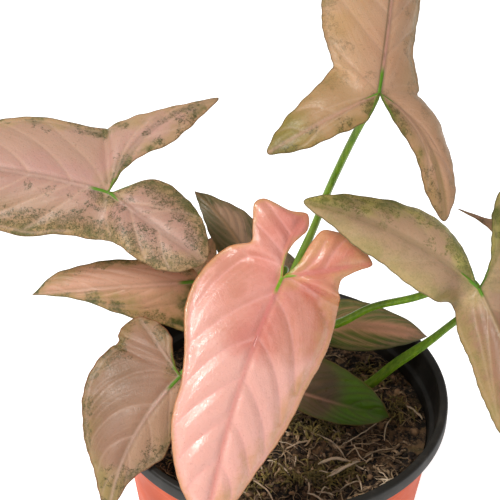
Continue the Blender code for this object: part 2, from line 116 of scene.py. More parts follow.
def through(points: Array, at: Array) -> Array:
    """Reads a rounded curve that passes through the points.

    Args:
        points: The points to pass, one a row.
        at: Places on the curve that count the points from 0.

    Returns:
        The curve's point at each place.
    """
    points = np.asarray(points, float)
    points = np.concatenate([2 * points[:1] - points[1:2], points, 2 * points[-1:] - points[-2:-1]])
    first = np.clip(np.floor(at).astype(int), 0, len(points) - 4)
    a, b, c, d = (points[first + step] for step in range(4))
    knots = [np.zeros(len(first))]
    for start, end in ((a, b), (b, c), (c, d)):
        knots.append(knots[-1] + np.sqrt(np.linalg.norm(end - start, axis=1)) + 1e-9)
    place = knots[1] + (at - first) * (knots[2] - knots[1])

    def mix(p: Array, q: Array, low: int, high: int) -> Array:
        """Blends p into q as place goes from one knot to another."""
        part = ((place - knots[low]) / (knots[high] - knots[low]))[:, None]
        return p + (q - p) * part

    ab, bc, cd = mix(a, b, 0, 1), mix(b, c, 1, 2), mix(c, d, 2, 3)
    return mix(mix(ab, bc, 0, 2), mix(bc, cd, 1, 3), 1, 2)


def evenly(points: Array, step: float) -> Array:
    """Reads a polyline again at even steps of about the given length.

    Args:
        points: The polyline, one point a row.
        step: How far apart the new points are.

    Returns:
        The new points.
    """
    length = np.concatenate([[0], np.cumsum(np.linalg.norm(np.diff(points, axis=0), axis=1))])
    at = np.linspace(0, length[-1], max(2, int(length[-1] / step) + 1))
    return np.stack([np.interp(at, length, points[:, axis]) for axis in range(3)], axis=1)


class Hand(Enum):
    """A side of a blade, seen from its stalk with the tip ahead."""

    LEFT = 1
    RIGHT = -1


class Graph:
    """Builds the shader nodes of one material, one call for each node.

    Noises and cells are scaled in waves to the metre, and relief is in metres.
    """

    def __init__(self, name: str) -> None:
        """Starts a material that reads the object's own coordinates.

        Args:
            name: The material's name.
        """
        self.material = bpy.data.materials.new(name)
        self.material.use_nodes = True
        self.tree = self.material.node_tree
        self.shader = self.tree.nodes["Principled BSDF"]
        self.place = self.tree.nodes.new("ShaderNodeTexCoord").outputs["Object"]

    def put(self, target: Socket, value: Number | Sequence[float]) -> None:
        """Feeds an input.

        Args:
            target: The input.
            value: The socket to link to it, or its own new value.
        """
        if isinstance(value, Socket):
            self.tree.links.new(value, target)
        else:
            target.default_value = value

    def attribute(self, name: str) -> Socket:
        """Reads a number kept on the mesh's points.

        Args:
            name: The attribute's name.

        Returns:
            The number.
        """
        node = self.tree.nodes.new("ShaderNodeAttribute")
        node.attribute_name = name
        return node.outputs["Fac"]

    def math(self, operation: str, a: Number, b: Number = 0.0) -> Socket:
        """Adds one Math node.

        Args:
            operation: What it does.
            a: Its first number.
            b: Its second number.

        Returns:
            Its result.
        """
        node = self.tree.nodes.new("ShaderNodeMath")
        node.operation = operation
        self.put(node.inputs[0], a)
        self.put(node.inputs[1], b)
        return node.outputs[0]

    def product(self, *factors: Number) -> Socket:
        """Multiplies numbers.

        Args:
            *factors: The numbers.

        Returns:
            Their product.
        """
        result = factors[0]
        for factor in factors[1:]:
            result = self.math("MULTIPLY", result, factor)
        return result

    def rest(self, share: Number) -> Socket:
        """Gives what a share leaves of 1."""
        return self.math("SUBTRACT", 1.0, share)

    def swing(self, wave: Socket, width: float) -> Socket:
        """Turns a noise about 0.5 into one about 0 that is width wide."""
        return self.product(self.math("SUBTRACT", wave, 0.5), width)

    def band(
        self,
        value: Socket,
        low: float,
        high: float,
        to_low: float = 0.0,
        to_high: float = 1.0,
    ) -> Socket:
        """Maps a range smoothly onto another one and clips it.

        Args:
            value: The number to map.
            low: The start of its range.
            high: The end of its range.
            to_low: The result at low.
            to_high: The result at high.

        Returns:
            The result.
        """
        node = self.tree.nodes.new("ShaderNodeMapRange")
        node.interpolation_type = "SMOOTHSTEP"
        self.put(node.inputs["Value"], value)
        names = ("From Min", "From Max", "To Min", "To Max")
        for name, number in zip(names, (low, high, to_low, to_high)):
            node.inputs[name].default_value = number
        return node.outputs["Result"]

    def vector(self, x: Number, y: Number = 0.0, z: Number = 0.0) -> Socket:
        """Makes a vector.

        Args:
            x: Its first number.
            y: Its second number.
            z: Its third number.

        Returns:
            The vector.
        """
        node = self.tree.nodes.new("ShaderNodeCombineXYZ")
        for socket, value in zip(node.inputs, (x, y, z)):
            self.put(socket, value)
        return node.outputs[0]

    def noise(
        self,
        scale: float,
        detail: float = 3.0,
        rough: float = 0.5,
        at: Socket | None = None,
    ) -> Socket:
        """Adds a noise texture.

        Args:
            scale: Waves in each unit of the coordinate.
            detail: Octaves on top of the first.
            rough: How strong the finer octaves are.
            at: The coordinate, or None for the object's own.

        Returns:
            The noise as a number about 0.5.
        """
        node = self.tree.nodes.new("ShaderNodeTexNoise")
        self.put(node.inputs["Vector"], at or self.place)
        node.inputs["Scale"].default_value = scale
        node.inputs["Detail"].default_value = detail
        node.inputs["Roughness"].default_value = rough
        return node.outputs["Fac"]

    def cell_walls(self, scale: float) -> Socket:
        """Adds a cell texture.

        Args:
            scale: Cells to the metre.

        Returns:
            The distance to the nearest cell's wall.
        """
        node = self.tree.nodes.new("ShaderNodeTexVoronoi")
        node.feature = "DISTANCE_TO_EDGE"
        self.put(node.inputs["Vector"], self.place)
        node.inputs["Scale"].default_value = scale
        return node.outputs["Distance"]

    def blend(self, low: Socket | Colour, high: Socket | Colour, part: Number) -> Socket:
        """Mixes two colours.

        Args:
            low: The colour where part is 0.
            high: The colour where part is 1.
            part: The second colour's share.

        Returns:
            The mixed colour.
        """
        node = self.tree.nodes.new("ShaderNodeMix")
        node.data_type = "RGBA"
        for socket, value in zip((node.inputs[6], node.inputs[7]), (low, high)):
            self.put(socket, value if isinstance(value, Socket) else (*value, 1))
        self.put(node.inputs[0], part)
        return node.outputs[2]

    def bump(
        self,
        height: Socket,
        depth: float,
        strength: float = 1.0,
        below: Socket | None = None,
    ) -> Socket:
        """Adds relief.

        Args:
            height: The relief's shape, from 0 to 1.
            depth: How deep it is, in metres.
            strength: How much of it shows.
            below: Another bump that it lies on.

        Returns:
            The bumped normal.
        """
        node = self.tree.nodes.new("ShaderNodeBump")
        node.inputs["Strength"].default_value = strength
        node.inputs["Distance"].default_value = depth
        self.put(node.inputs["Height"], height)
        if below is not None:
            self.put(node.inputs["Normal"], below)
        return node.outputs["Normal"]

    def finish(self, **values: Number | Sequence[float]) -> Material:
        """Sets the surface shader's inputs.

        Args:
            **values: Their values, by names with underscores for spaces.

        Returns:
            The material.
        """
        for name, value in values.items():
            if isinstance(value, tuple) and len(value) == 3 and name == "Base_Color":
                value = (*value, 1)
            self.put(self.shader.inputs[name.replace("_", " ")], value)
        return self.material


class LeafGraph(Graph):
    """The nodes of a blade's upper face, with the numbers that its mesh carries.

    edge, spine and core are the distances to the edge, to the ribs and to the junction, in
    millimetres. rib and vein are 1 on those lines. half is 1 on the left half and 0 on the right,
    lobe is 1 on the basal lobes, and sinus is 1 on the side of them that faces the sinus. cloud is
    a broad noise, and streak is one that is drawn out along the side veins.
    """

    NUMBERS = ("edge", "spine", "core", "rib", "vein", "half", "lobe", "sinus")
    CLOUD_WAVES = 70
    STREAK_WAVES = 42.0
    STREAK_WAVES_OUT = 1.6

    def __init__(self, name: str) -> None:
        """Starts the material.

        Args:
            name: The material's name.
        """
        super().__init__(name)
        read = (self.attribute(number) for number in self.NUMBERS)
        self.edge, self.spine, self.core, self.rib, self.vein, self.half, self.lobe, self.sinus = read
        self.cloud = self.noise(self.CLOUD_WAVES, 4, 0.55)
        flow = self.product(self.attribute("flow"), self.STREAK_WAVES)
        reach = self.product(self.attribute("reach"), self.STREAK_WAVES_OUT)
        self.streak = self.noise(1.0, 3, 0.6, self.vector(flow, reach, self.half))


@dataclass(frozen=True)
class LeafFinish:
    """The colours and gloss of one blade.

    left and right are the ground colours of the two halves, heart spreads from the ribs over the share
    heart_share, and blush is that of the clouds and streaks over both. margin is the band along the
    edge, margin_width wide in millimetres, and rim the thin line on the edge itself. speck covers
    the share speckle of the blade, mostly by the edge, and specks_right is what the right half has
    on top of it. blotch is that of larger clouds on the margin. vein and rib colour the veins, and
    rib_fade is what is left of the rib's towards the tip. green is at the junction and runs
    green_reach millimetres up the ribs. far takes over from far_start millimetres out, on the main
    lobe, or on the right basal lobe if far_lobe is set. under is the underside, and margin_right
    widens the right half's margin. main_edge is what the main lobe keeps of the margin's colours,
    and outer_edge what the outer sides of the basal lobes keep. dull is painted shade: how much of
    the margin's colour the right basal lobe has all over. crease is painted shade that darkens the
    right of the main rib. green_lobe is how much shorter the green is on the basal lobes. roughness
    and shine set the gloss.

    The WAVES are counted in a metre, the DEPTHS are in metres, and the REACHES in millimetres.
    """

    BLOT_WAVES, RAGGED_WAVES, CLUSTER_WAVES = 95, 160, 190
    CLOT_WAVES, FLECK_WAVES, DOT_WAVES, GAP_WAVES = 420, 620, 1300, 2300
    GRAIN_WAVES, GLOSS_WAVES, DENT_WAVES, NET_WAVES, UNDER_WAVES = 1500, 260, 380, 800, 90
    NET_DEPTH, STREAK_DEPTH, DENT_DEPTH, UNDER_DEPTH = 0.00006, 0.00015, 0.0002, 0.0004
    FAR_RAGGED_REACH, FAR_REACH, RIB_REACH = 16.0, 9.0, 22.0
    SINUS_REACHES = (4.0, 11.0)
    FLESH_SCATTER = (1.0, 0.45, 0.25)
    FLESH_DEPTH = 0.0015

    name: str
    left: Colour
    right: Colour
    heart: Colour
    blush: Colour
    margin: Colour
    rim: Colour
    speck: Colour
    vein: Colour
    rib: Colour
    under: Colour
    blotch: Colour = srgb(96, 98, 44)
    far: Colour = srgb(170, 140, 100)
    green: Colour = srgb(88, 134, 26)
    green_reach: float = 7.0
    heart_share: float = 0.6
    heart_width: float = 9.0
    blush_share: float = 0.5
    streaks: float = 0.1
    margin_width: float = 3.0
    margin_share: float = 0.7
    margin_right: float = 1.0
    blotch_share: float = 0.5
    far_share: float = 0.0
    far_start: float = 14.0
    far_lobe: bool = False
    shine: float = 0.3
    rim_width: float = 0.5
    speckle: float = 0.4
    specks_right: float = 0.0
    main_edge: float = 1.0
    outer_edge: float = 1.0
    right_lobe_shade: float = 0.0
    crease_shade: float = 0.0
    green_lobe: float = 0.4
    vein_share: float = 0.5
    rib_share: float = 0.75
    rib_fade: float = 0.5
    roughness: float = 0.38

    def top(self) -> Material:
        """Makes the upper face's material.

        Returns:
            The material.
        """
        leaf = LeafGraph(self.name)
        colour = self.with_edge(leaf, self.ground(leaf))
        colour = self.with_ends(leaf, self.with_ribs(leaf, colour))
        gloss = leaf.noise(self.GLOSS_WAVES, 3)
        return leaf.finish(
            Base_Color=colour,
            Roughness=leaf.band(gloss, 0.3, 0.7, self.roughness - 0.05, self.roughness + 0.09),
            Specular_IOR_Level=self.shine,
            Subsurface_Weight=0.1,
            Subsurface_Radius=self.FLESH_SCATTER,
            Subsurface_Scale=self.FLESH_DEPTH,
            Normal=self.relief(leaf),
        )

    def ground(self, leaf: LeafGraph) -> Socket:
        """Mixes the two halves' ground, the heart, the clouds and streaks, and the far part.

        Args:
            leaf: The nodes to add to.

        Returns:
            The colour.
        """
        colour = leaf.blend(self.right, self.left, leaf.half)
        near = leaf.math("ADD", leaf.spine, leaf.swing(leaf.cloud, 1.6 * self.heart_width))
        heart = leaf.band(near, 0.15 * self.heart_width, 1.5 * self.heart_width, self.heart_share, 0.0)
        colour = leaf.blend(colour, self.heart, heart)
        patch = leaf.band(leaf.math("ADD", leaf.cloud, leaf.product(leaf.streak, 0.3)), 0.55, 0.78)
        colour = leaf.blend(colour, self.blush, leaf.product(patch, self.blush_share))
        colour = leaf.blend(colour, self.vein, leaf.band(leaf.streak, 0.48, 0.72, 0.0, self.streaks))
        out = leaf.math("ADD", leaf.core, leaf.swing(leaf.cloud, self.FAR_RAGGED_REACH))
        out = leaf.band(out, self.far_start, self.far_start + self.FAR_REACH, 0.0, self.far_share)
        where = (leaf.lobe, leaf.rest(leaf.half)) if self.far_lobe else (leaf.rest(leaf.lobe),)
        return leaf.blend(colour, self.far, leaf.product(out, *where))

    def with_edge(self, leaf: LeafGraph, colour: Socket) -> Socket:
        """Lays the painted shade of the right basal lobe, the margin, its clouds and the speckles on top.

        Args:
            leaf: The nodes to add to.
            colour: The colour below.

        Returns:
            The colour.
        """
        # Painted shade: the right basal lobe takes on the margin's colour all over.
        right_lobe_shade = leaf.product(leaf.lobe, leaf.rest(leaf.half), self.right_lobe_shade)
        colour = leaf.blend(colour, self.margin, right_lobe_shade)
        outer = leaf.product(leaf.lobe, leaf.rest(leaf.sinus), 1 - self.outer_edge)
        kept = leaf.math("ADD", leaf.product(leaf.lobe, 1 - self.main_edge), self.main_edge)
        kept = leaf.math("SUBTRACT", kept, outer)
        width = 1 / self.margin_right
        edge = leaf.product(leaf.edge, leaf.math("ADD", width, leaf.product(leaf.half, 1 - width)))
        ragged = leaf.swing(leaf.noise(self.RAGGED_WAVES, 4, 0.6), 4.0 * self.margin_width)
        margin = leaf.math("ADD", edge, ragged)
        margin = leaf.band(margin, 0.0, 1.7 * self.margin_width, self.margin_share, 0.0)
        colour = leaf.blend(colour, self.margin, leaf.product(margin, kept))
        blots = leaf.band(leaf.noise(self.BLOT_WAVES, 4, 0.65), 0.5, 0.6)
        near = leaf.band(edge, 0.5, 1.3 * self.margin_width, self.blotch_share, 0.0)
        colour = leaf.blend(colour, self.blotch, leaf.product(blots, near, kept))
        return leaf.blend(colour, self.speck, leaf.product(self.speckles(leaf), kept))

    def speckles(self, leaf: LeafGraph) -> Socket:
        """Scatters speckles in clusters that thicken towards the edge.

        Args:
            leaf: The nodes to add to.

        Returns:
            The share that they cover.
        """
        near = leaf.band(leaf.edge, 0.0, 3.5 * self.margin_width, 0.5, 0.0)
        crowd = leaf.math("ADD", leaf.product(leaf.noise(self.CLUSTER_WAVES, 3, 0.55), 1.8), near)
        crowd = leaf.math("ADD", crowd, leaf.product(leaf.cloud, 0.3))
        crowd = leaf.math("SUBTRACT", crowd, leaf.product(leaf.half, 0.4 * self.specks_right))
        share = 0.4 * (self.speckle + self.specks_right)
        thick = leaf.band(crowd, 1.5 - share, 1.75 - share, 0.0, 0.6)
        crowd = leaf.band(crowd, 1.38 - share, 1.5 - share)
        dots = leaf.band(leaf.noise(self.DOT_WAVES, 3, 0.7), 0.5, 0.58)
        flecks = leaf.band(leaf.noise(self.FLECK_WAVES, 5, 0.75), 0.5, 0.58)
        clots = leaf.product(thick, leaf.band(leaf.noise(self.CLOT_WAVES, 3), 0.4, 0.55))
        both = leaf.math("MAXIMUM", leaf.product(dots, 0.8), leaf.product(flecks, 0.9))
        both = leaf.math("MAXIMUM", both, clots)
        gaps = leaf.band(leaf.noise(self.GAP_WAVES, 2, 0.6), 0.4, 0.58, 1.0, 0.45)
        return leaf.product(crowd, both, gaps)

    def with_ribs(self, leaf: LeafGraph, colour: Socket) -> Socket:
        """Draws the painted shade beside the ribs, the veins, the ribs and the painted shade along the
        right of the main rib on top.

        Args:
            leaf: The nodes to add to.
            colour: The colour below.

        Returns:
            The colour.
        """
        # Painted shade along the ribs: a fifth of the speck colour, fading out 1.5 mm from them.
        colour = leaf.blend(colour, self.speck, leaf.band(leaf.spine, 0.6, 1.5, 0.2, 0.0))
        colour = leaf.blend(colour, self.vein, leaf.product(leaf.vein, self.vein_share))
        reach = self.green_reach + self.RIB_REACH
        far = leaf.band(leaf.core, self.green_reach, reach, 1.0, self.rib_fade)
        far = leaf.product(far, leaf.rest(leaf.product(leaf.lobe, 0.6)))
        colour = leaf.blend(colour, self.rib, leaf.product(leaf.rib, self.rib_share, far))
        # Painted shade: the speck colour along the right of the main rib, on the main lobe.
        crease_shade = leaf.band(leaf.spine, 0.5, 1.1, self.crease_shade, 0.0)
        crease_shade = leaf.product(crease_shade, leaf.band(leaf.half, 0.5, 0.3), leaf.rest(leaf.lobe))
        return leaf.blend(colour, self.speck, crease_shade)

    def with_ends(self, leaf: LeafGraph, colour: Socket) -> Socket:
        """Greens the junction and the sinus, and draws the rim and a fine grain on top.

        Args:
            leaf: The nodes to add to.
            colour: The colour below.

        Returns:
            The colour.
        """
        reach = leaf.math("ADD", leaf.core, leaf.product(leaf.lobe, self.green_lobe * self.green_reach))
        green = leaf.band(reach, 0.6 * self.green_reach, self.green_reach, 1.0, 0.0)
        green = leaf.product(green, leaf.band(leaf.rib, 0.15, 0.55))
        sinus = leaf.band(leaf.core, *self.SINUS_REACHES, 0.9, 0.0)
        sinus = leaf.product(sinus, leaf.band(leaf.edge, 0.3, 1.0, 1.0, 0.0), leaf.lobe)
        colour = leaf.blend(colour, self.green, leaf.math("MAXIMUM", green, sinus))
        rim = leaf.band(leaf.edge, 0.4 * self.rim_width, self.rim_width, 0.7, 0.0)
        colour = leaf.blend(colour, self.rim, rim)
        grain = leaf.noise(self.GRAIN_WAVES, 2, 0.6)
        return leaf.blend(colour, self.speck, leaf.band(grain, 0.56, 0.8, 0.0, 0.3))

    def relief(self, leaf: LeafGraph) -> Socket:
        """Adds the net of fine cells, the streaks and shallow dents.

        Args:
            leaf: The nodes to add to.

        Returns:
            The bumped normal.
        """
        net = leaf.band(leaf.cell_walls(self.NET_WAVES), 0.0, 0.12)
        relief = leaf.bump(net, self.NET_DEPTH, 0.35)
        relief = leaf.bump(leaf.streak, self.STREAK_DEPTH, 0.4, relief)
        return leaf.bump(leaf.noise(self.DENT_WAVES, 4), self.DENT_DEPTH, 0.4, relief)

    def bottom(self) -> Material:
        """Makes the underside's material: paler and duller, with raised veins.

        Returns:
            The material.
        """
        graph = Graph(self.name + "_underside")
        rib, vein = graph.attribute("rib"), graph.attribute("vein")
        cloud = graph.band(graph.noise(self.UNDER_WAVES, 3), 0.4, 0.7, 0.0, 0.4)
        colour = graph.blend(self.under, self.right, cloud)
        colour = graph.blend(colour, self.vein, graph.product(vein, 0.5))
        colour = graph.blend(colour, self.green, graph.product(rib, 0.5))
        return graph.finish(
            Base_Color=colour,
            Roughness=0.55,
            Specular_IOR_Level=0.3,
            Subsurface_Weight=0.1,
            Normal=graph.bump(graph.math("ADD", rib, vein), self.UNDER_DEPTH, 0.6),
        )


@dataclass(frozen=True)
class Vein:
    """A side vein, in the places that BladeForm.point takes.

    It leaves its rib at start and ends by the edge at end, at the share reach of the way out. turn
    is how late it swings along the edge: 1 is an even slant.
    """

    start: float
    end: float
    turn: float = 1.8
    reach: float = 0.92


@dataclass(frozen=True)
class Side:
    """One side of a blade: half of the main lobe, and the basal lobe behind it.

    The basal lobe has a rib of its own, from the blade's junction to tip. main is the distance from
    the main rib to the edge, at even steps from the waist. outer and inner are those from the basal
    rib to the lobe's two edges, at even steps between its ends; inner is on the sinus.

    forward is how far the waist lies ahead of the junction. lean swings the outer distances towards
    the lobe's tip, as far as lean_end by the tip itself. fold is how far the main lobe's side turns
    down, droop is how much its edge then hangs, and vee is how far both sides of the basal lobe
    turn down. arch and bow curve the basal rib, upwards and outwards.
    """

    tip: Point
    main: tuple[float, ...]
    outer: tuple[float, ...]
    inner: tuple[float, ...]
    forward: float = 0.0
    lean: float = 0.0
    lean_end: float = 0.0
    fold: float = 10.0
    droop: float = 2.0
    arch: float = 2.0
    bow: float = 0.0
    vee: float = 10.0
    veins: tuple[Vein, ...] = (
        Vein(2.0, 2.45, 3.2, 0.88), Vein(2.1, 2.45), Vein(2.25, 2.62),
        Vein(2.42, 2.76), Vein(2.6, 2.86), Vein(2.78, 2.94),
        Vein(1.72, 1.45), Vein(1.45, 1.2), Vein(1.22, 1.08),
        Vein(0.3, 0.62), Vein(0.58, 0.84),
    )


@dataclass(frozen=True)
class Blade:
    """An arrowhead blade between its junction with the stalk and its tip.

    arch and bow curve the main rib, upwards and to the right. dome is how far the blade swells
    between a rib and the edge. The edge goes up and down by wave, waves times on each side, and
    phase shifts the waves of one side against the other's. crinkle is how far the edge wanders in and
    out, quilt how much the flesh swells between the veins, and fine the share of the full grid.
    """

    name: str
    slot: str
    finish: LeafFinish
    junction: Point
    tip: Point
    left: Side
    right: Side
    arch: float = 4.0
    bow: float = 0.0
    dome: float = 1.2
    wave: float = 0.6
    waves: float = 3.5
    phase: float = 0.0
    crinkle: float = 0.18
    quilt: float = 0.25
    fine: float = 1.0


class Rib:
    """A vein that carries a strip of blade: a parabola that stands arch high and bows sideways."""

    def __init__(self, start: Array, end: Array, normal: Array, arch: float, bow: float) -> None:
        """Sets the curve out.

        Args:
            start: Its first end.
            end: Its other end.
            normal: The direction in which it arches.
            arch: How high its middle stands.
            bow: How far its middle stands to the right of its course.
        """
        self.start, self.end = start, end
        side = unit(np.cross(normal, end - start))
        self.control = (start + end) / 2 + 2 * arch * normal + 2 * bow * side

    def at(self, t: Array) -> Array:
        """Gives the points at the shares t of the rib, straight on past its ends.

        Args:
            t: Shares of the way from start to end.

        Returns:
            One point for each share.
        """
        t = np.asarray(t, float)[..., None]
        inside = np.clip(t, 0, 1)
        points = (1 - inside) ** 2 * self.start + 2 * inside * (1 - inside) * self.control
        points = points + inside**2 * self.end
        return points + (t - inside) * 2 * (self.control - self.start)

    def along(self, t: Array) -> Array:
        """Gives the rib's direction at the shares t."""
        t = np.clip(np.asarray(t, float), 0, 1)[..., None]
        return unit((1 - t) * (self.control - self.start) + t * (self.end - self.control))


class BladeForm:
    """The top face of a blade, as strips that run from its ribs to its edge.

    A place p goes round one side: 0 to 1 along the sinus to the basal lobe's tip, 1 to 2 back to the
    waist, and 2 to 3 along the main lobe to its tip. r goes from 0 at the rib to 1 at the edge.
    """

    MAIN_SWEEP = 0.65
    FULL_REACH = 14.0
    LOBE_TURN, MAIN_TURN = 7, 10
    LEAN_FULL = 0.75
    FRILLS = ((0.5, (0.9, 0.5, 0.4)), (0.35, (-0.6, 1.5, 0.7)), (0.6, (0.35, -0.3, 0.3)))
    CALM_END, CALM_LOBE_TIP = 0.15, 0.12
    RUFFLE, RUFFLE_WAVES = 0.3, 3.7

    def __init__(self, blade: Blade) -> None:
        """Sets out the ribs and the edges.

        Args:
            blade: The blade's measures.
        """
        self.blade = blade
        self.start = np.array(blade.junction, float)
        self.end = np.array(blade.tip, float)
        self.length = float(np.linalg.norm(self.end - self.start))
        left, right = np.array(blade.left.tip, float), np.array(blade.right.tip, float)
        self.normal = unit(np.cross(left - right, self.end - self.start))
        self.main = Rib(self.start, self.end, self.normal, blade.arch, blade.bow)
        self.basal = {
            Hand.LEFT: Rib(self.start, left, self.normal, blade.left.arch, blade.left.bow),
            Hand.RIGHT: Rib(self.start, right, self.normal, blade.right.arch, -blade.right.bow),
        }
        self.edges = {hand: self.edge(hand) for hand in Hand}

    def side(self, hand: Hand) -> Side:
        """Gives the measures of one side."""
        return self.blade.left if hand is Hand.LEFT else self.blade.right

    def main_edge(self, hand: Hand) -> Array:
        """Gives the main lobe's edge at even steps from its waist.

        Args:
            hand: Which side.

        Returns:
            One point a row.
        """
        side = self.side(hand)
        at = np.arange(len(side.main)) / len(side.main)
        at[0] = side.forward / self.length
        along = self.main.along(at)
        out = turned(hand.value * unit(np.cross(along, self.normal)), hand.value * along, side.fold)
        width = np.array(side.main, float)[:, None]
        return self.main.at(at) + width * out - side.droop * (width / max(side.main)) ** 2 * self.normal

    def basal_edge(self, hand: Hand, outer: bool) -> Array:
        """Gives the basal lobe's outer edge or its sinus edge, at even steps of its rib.

        Args:
            hand: Which side.
            outer: Whether it is the outer edge.

        Returns:
            One point a row.
        """
        side, rib = self.side(hand), self.basal[hand]
        widths = side.outer if outer else side.inner
        at = np.arange(1, len(widths) + 1) / (len(widths) + 1)
        along = rib.along(at)
        sign = hand.value if outer else -hand.value
        across = sign * unit(np.cross(self.normal, along))
        out = turned(across, -sign * along, side.vee)
        lean = side.lean_end + (side.lean / self.LEAN_FULL - side.lean_end) * (1 - at)
        lean = np.radians(lean * outer)[:, None]
        return rib.at(at) + np.array(widths, float)[:, None] * (np.cos(lean) * out + np.sin(lean) * along)

    def edge(self, hand: Hand) -> Array:
        """Gives the edge of one side: sinus, basal lobe's tip, waist and main tip.

        Args:
            hand: Which side.

        Returns:
            One point a row.
        """
        return np.concatenate(
            [
                self.start[None],
                self.basal_edge(hand, outer=False),
                self.basal[hand].end[None],
                self.basal_edge(hand, outer=True)[::-1],
                self.main_edge(hand),
                self.end[None],
            ]
        )

    def strip(self, hand: Hand, p: Array) -> tuple[Array, Array]:
        """Gives the rib point and the edge point at each place.

        Args:
            hand: Which side.
            p: Places round the side.

        Returns:
            The rib's points and the edge's.
        """
        side, rib = self.side(hand), self.basal[hand]
        basal_tip = len(side.inner) + 1
        waist = basal_tip + len(side.outer) + 1
        inner, outer, main = np.clip(p, 0, 1), np.clip(p - 1, 0, 1), np.clip(p - 2, 0, 1)
        ribs = np.where((p <= 2)[:, None], rib.at(inner - outer), self.main.at(main))
        count = basal_tip * inner + (waist - basal_tip) * outer + len(side.main) * main**self.MAIN_SWEEP
        edge = through(self.edges[hand], count)
        frill = sum(size * np.sin(edge @ waves) for size, waves in self.FRILLS)
        calm = smooth(p / self.CALM_END) * smooth(abs(p - 1) / self.CALM_LOBE_TIP)
        calm = calm * smooth((3 - p) / self.CALM_END)
        return ribs, edge + (self.blade.crinkle * frill * calm)[:, None] * unit(edge - ribs)

    def point(self, hand: Hand, p: Array, r: Array) -> Array:
        """Gives the surface's points.

        Args:
            hand: Which side.
            p: Places round the side.
            r: Shares of the way from rib to edge, of a shape that p[:, None] can be spread to.

        Returns:
            One point for each pair, along the shape of r.
        """
        rib, edge = self.strip(hand, p)
        rib, edge = rib[:, None], edge[:, None]
        out = r[..., None]
        reach = np.clip(np.linalg.norm(edge - rib, axis=-1, keepdims=True) / self.FULL_REACH, 0, 1)
        turn = np.clip(p, 0, 2) * self.LOBE_TURN + np.clip(p - 2, 0, 1) * self.MAIN_TURN
        turn = 1 - turn / (2 * self.LOBE_TURN + self.MAIN_TURN)
        sign = -hand.value
        ripple = np.sin(tau * self.blade.waves * turn + self.blade.phase * sign)[:, None, None]
        ruffle = np.sin(tau * self.RUFFLE_WAVES * self.blade.waves * turn + 2 * sign)
        ruffle = self.RUFFLE * ruffle[:, None, None] * out**6
        lift = self.blade.wave * (ripple * out**2 + ruffle) + self.blade.dome * 4 * out * (1 - out)
        return rib + out * (edge - rib) + reach * lift * self.normal


class Finder:
    """Finds how far points lie from a set of lines."""

    STEP = 0.25

    def __init__(self, lines: Sequence[Array]) -> None:
        """Files points along the lines.

        Args:
            lines: Polylines, one point a row.
        """
        points = np.concatenate([evenly(line, self.STEP) for line in lines])
        self.tree = kdtree.KDTree(len(points))
        for number, point in enumerate(points):
            self.tree.insert(point, number)
        self.tree.balance()

    def distance(self, points: Array) -> Array:
        """Gives each point's distance to the nearest line, in an array of the points' shape."""
        flat = [self.tree.find(point)[2] for point in points.reshape(-1, 3)]
        return np.array(flat).reshape(points.shape[:-1])


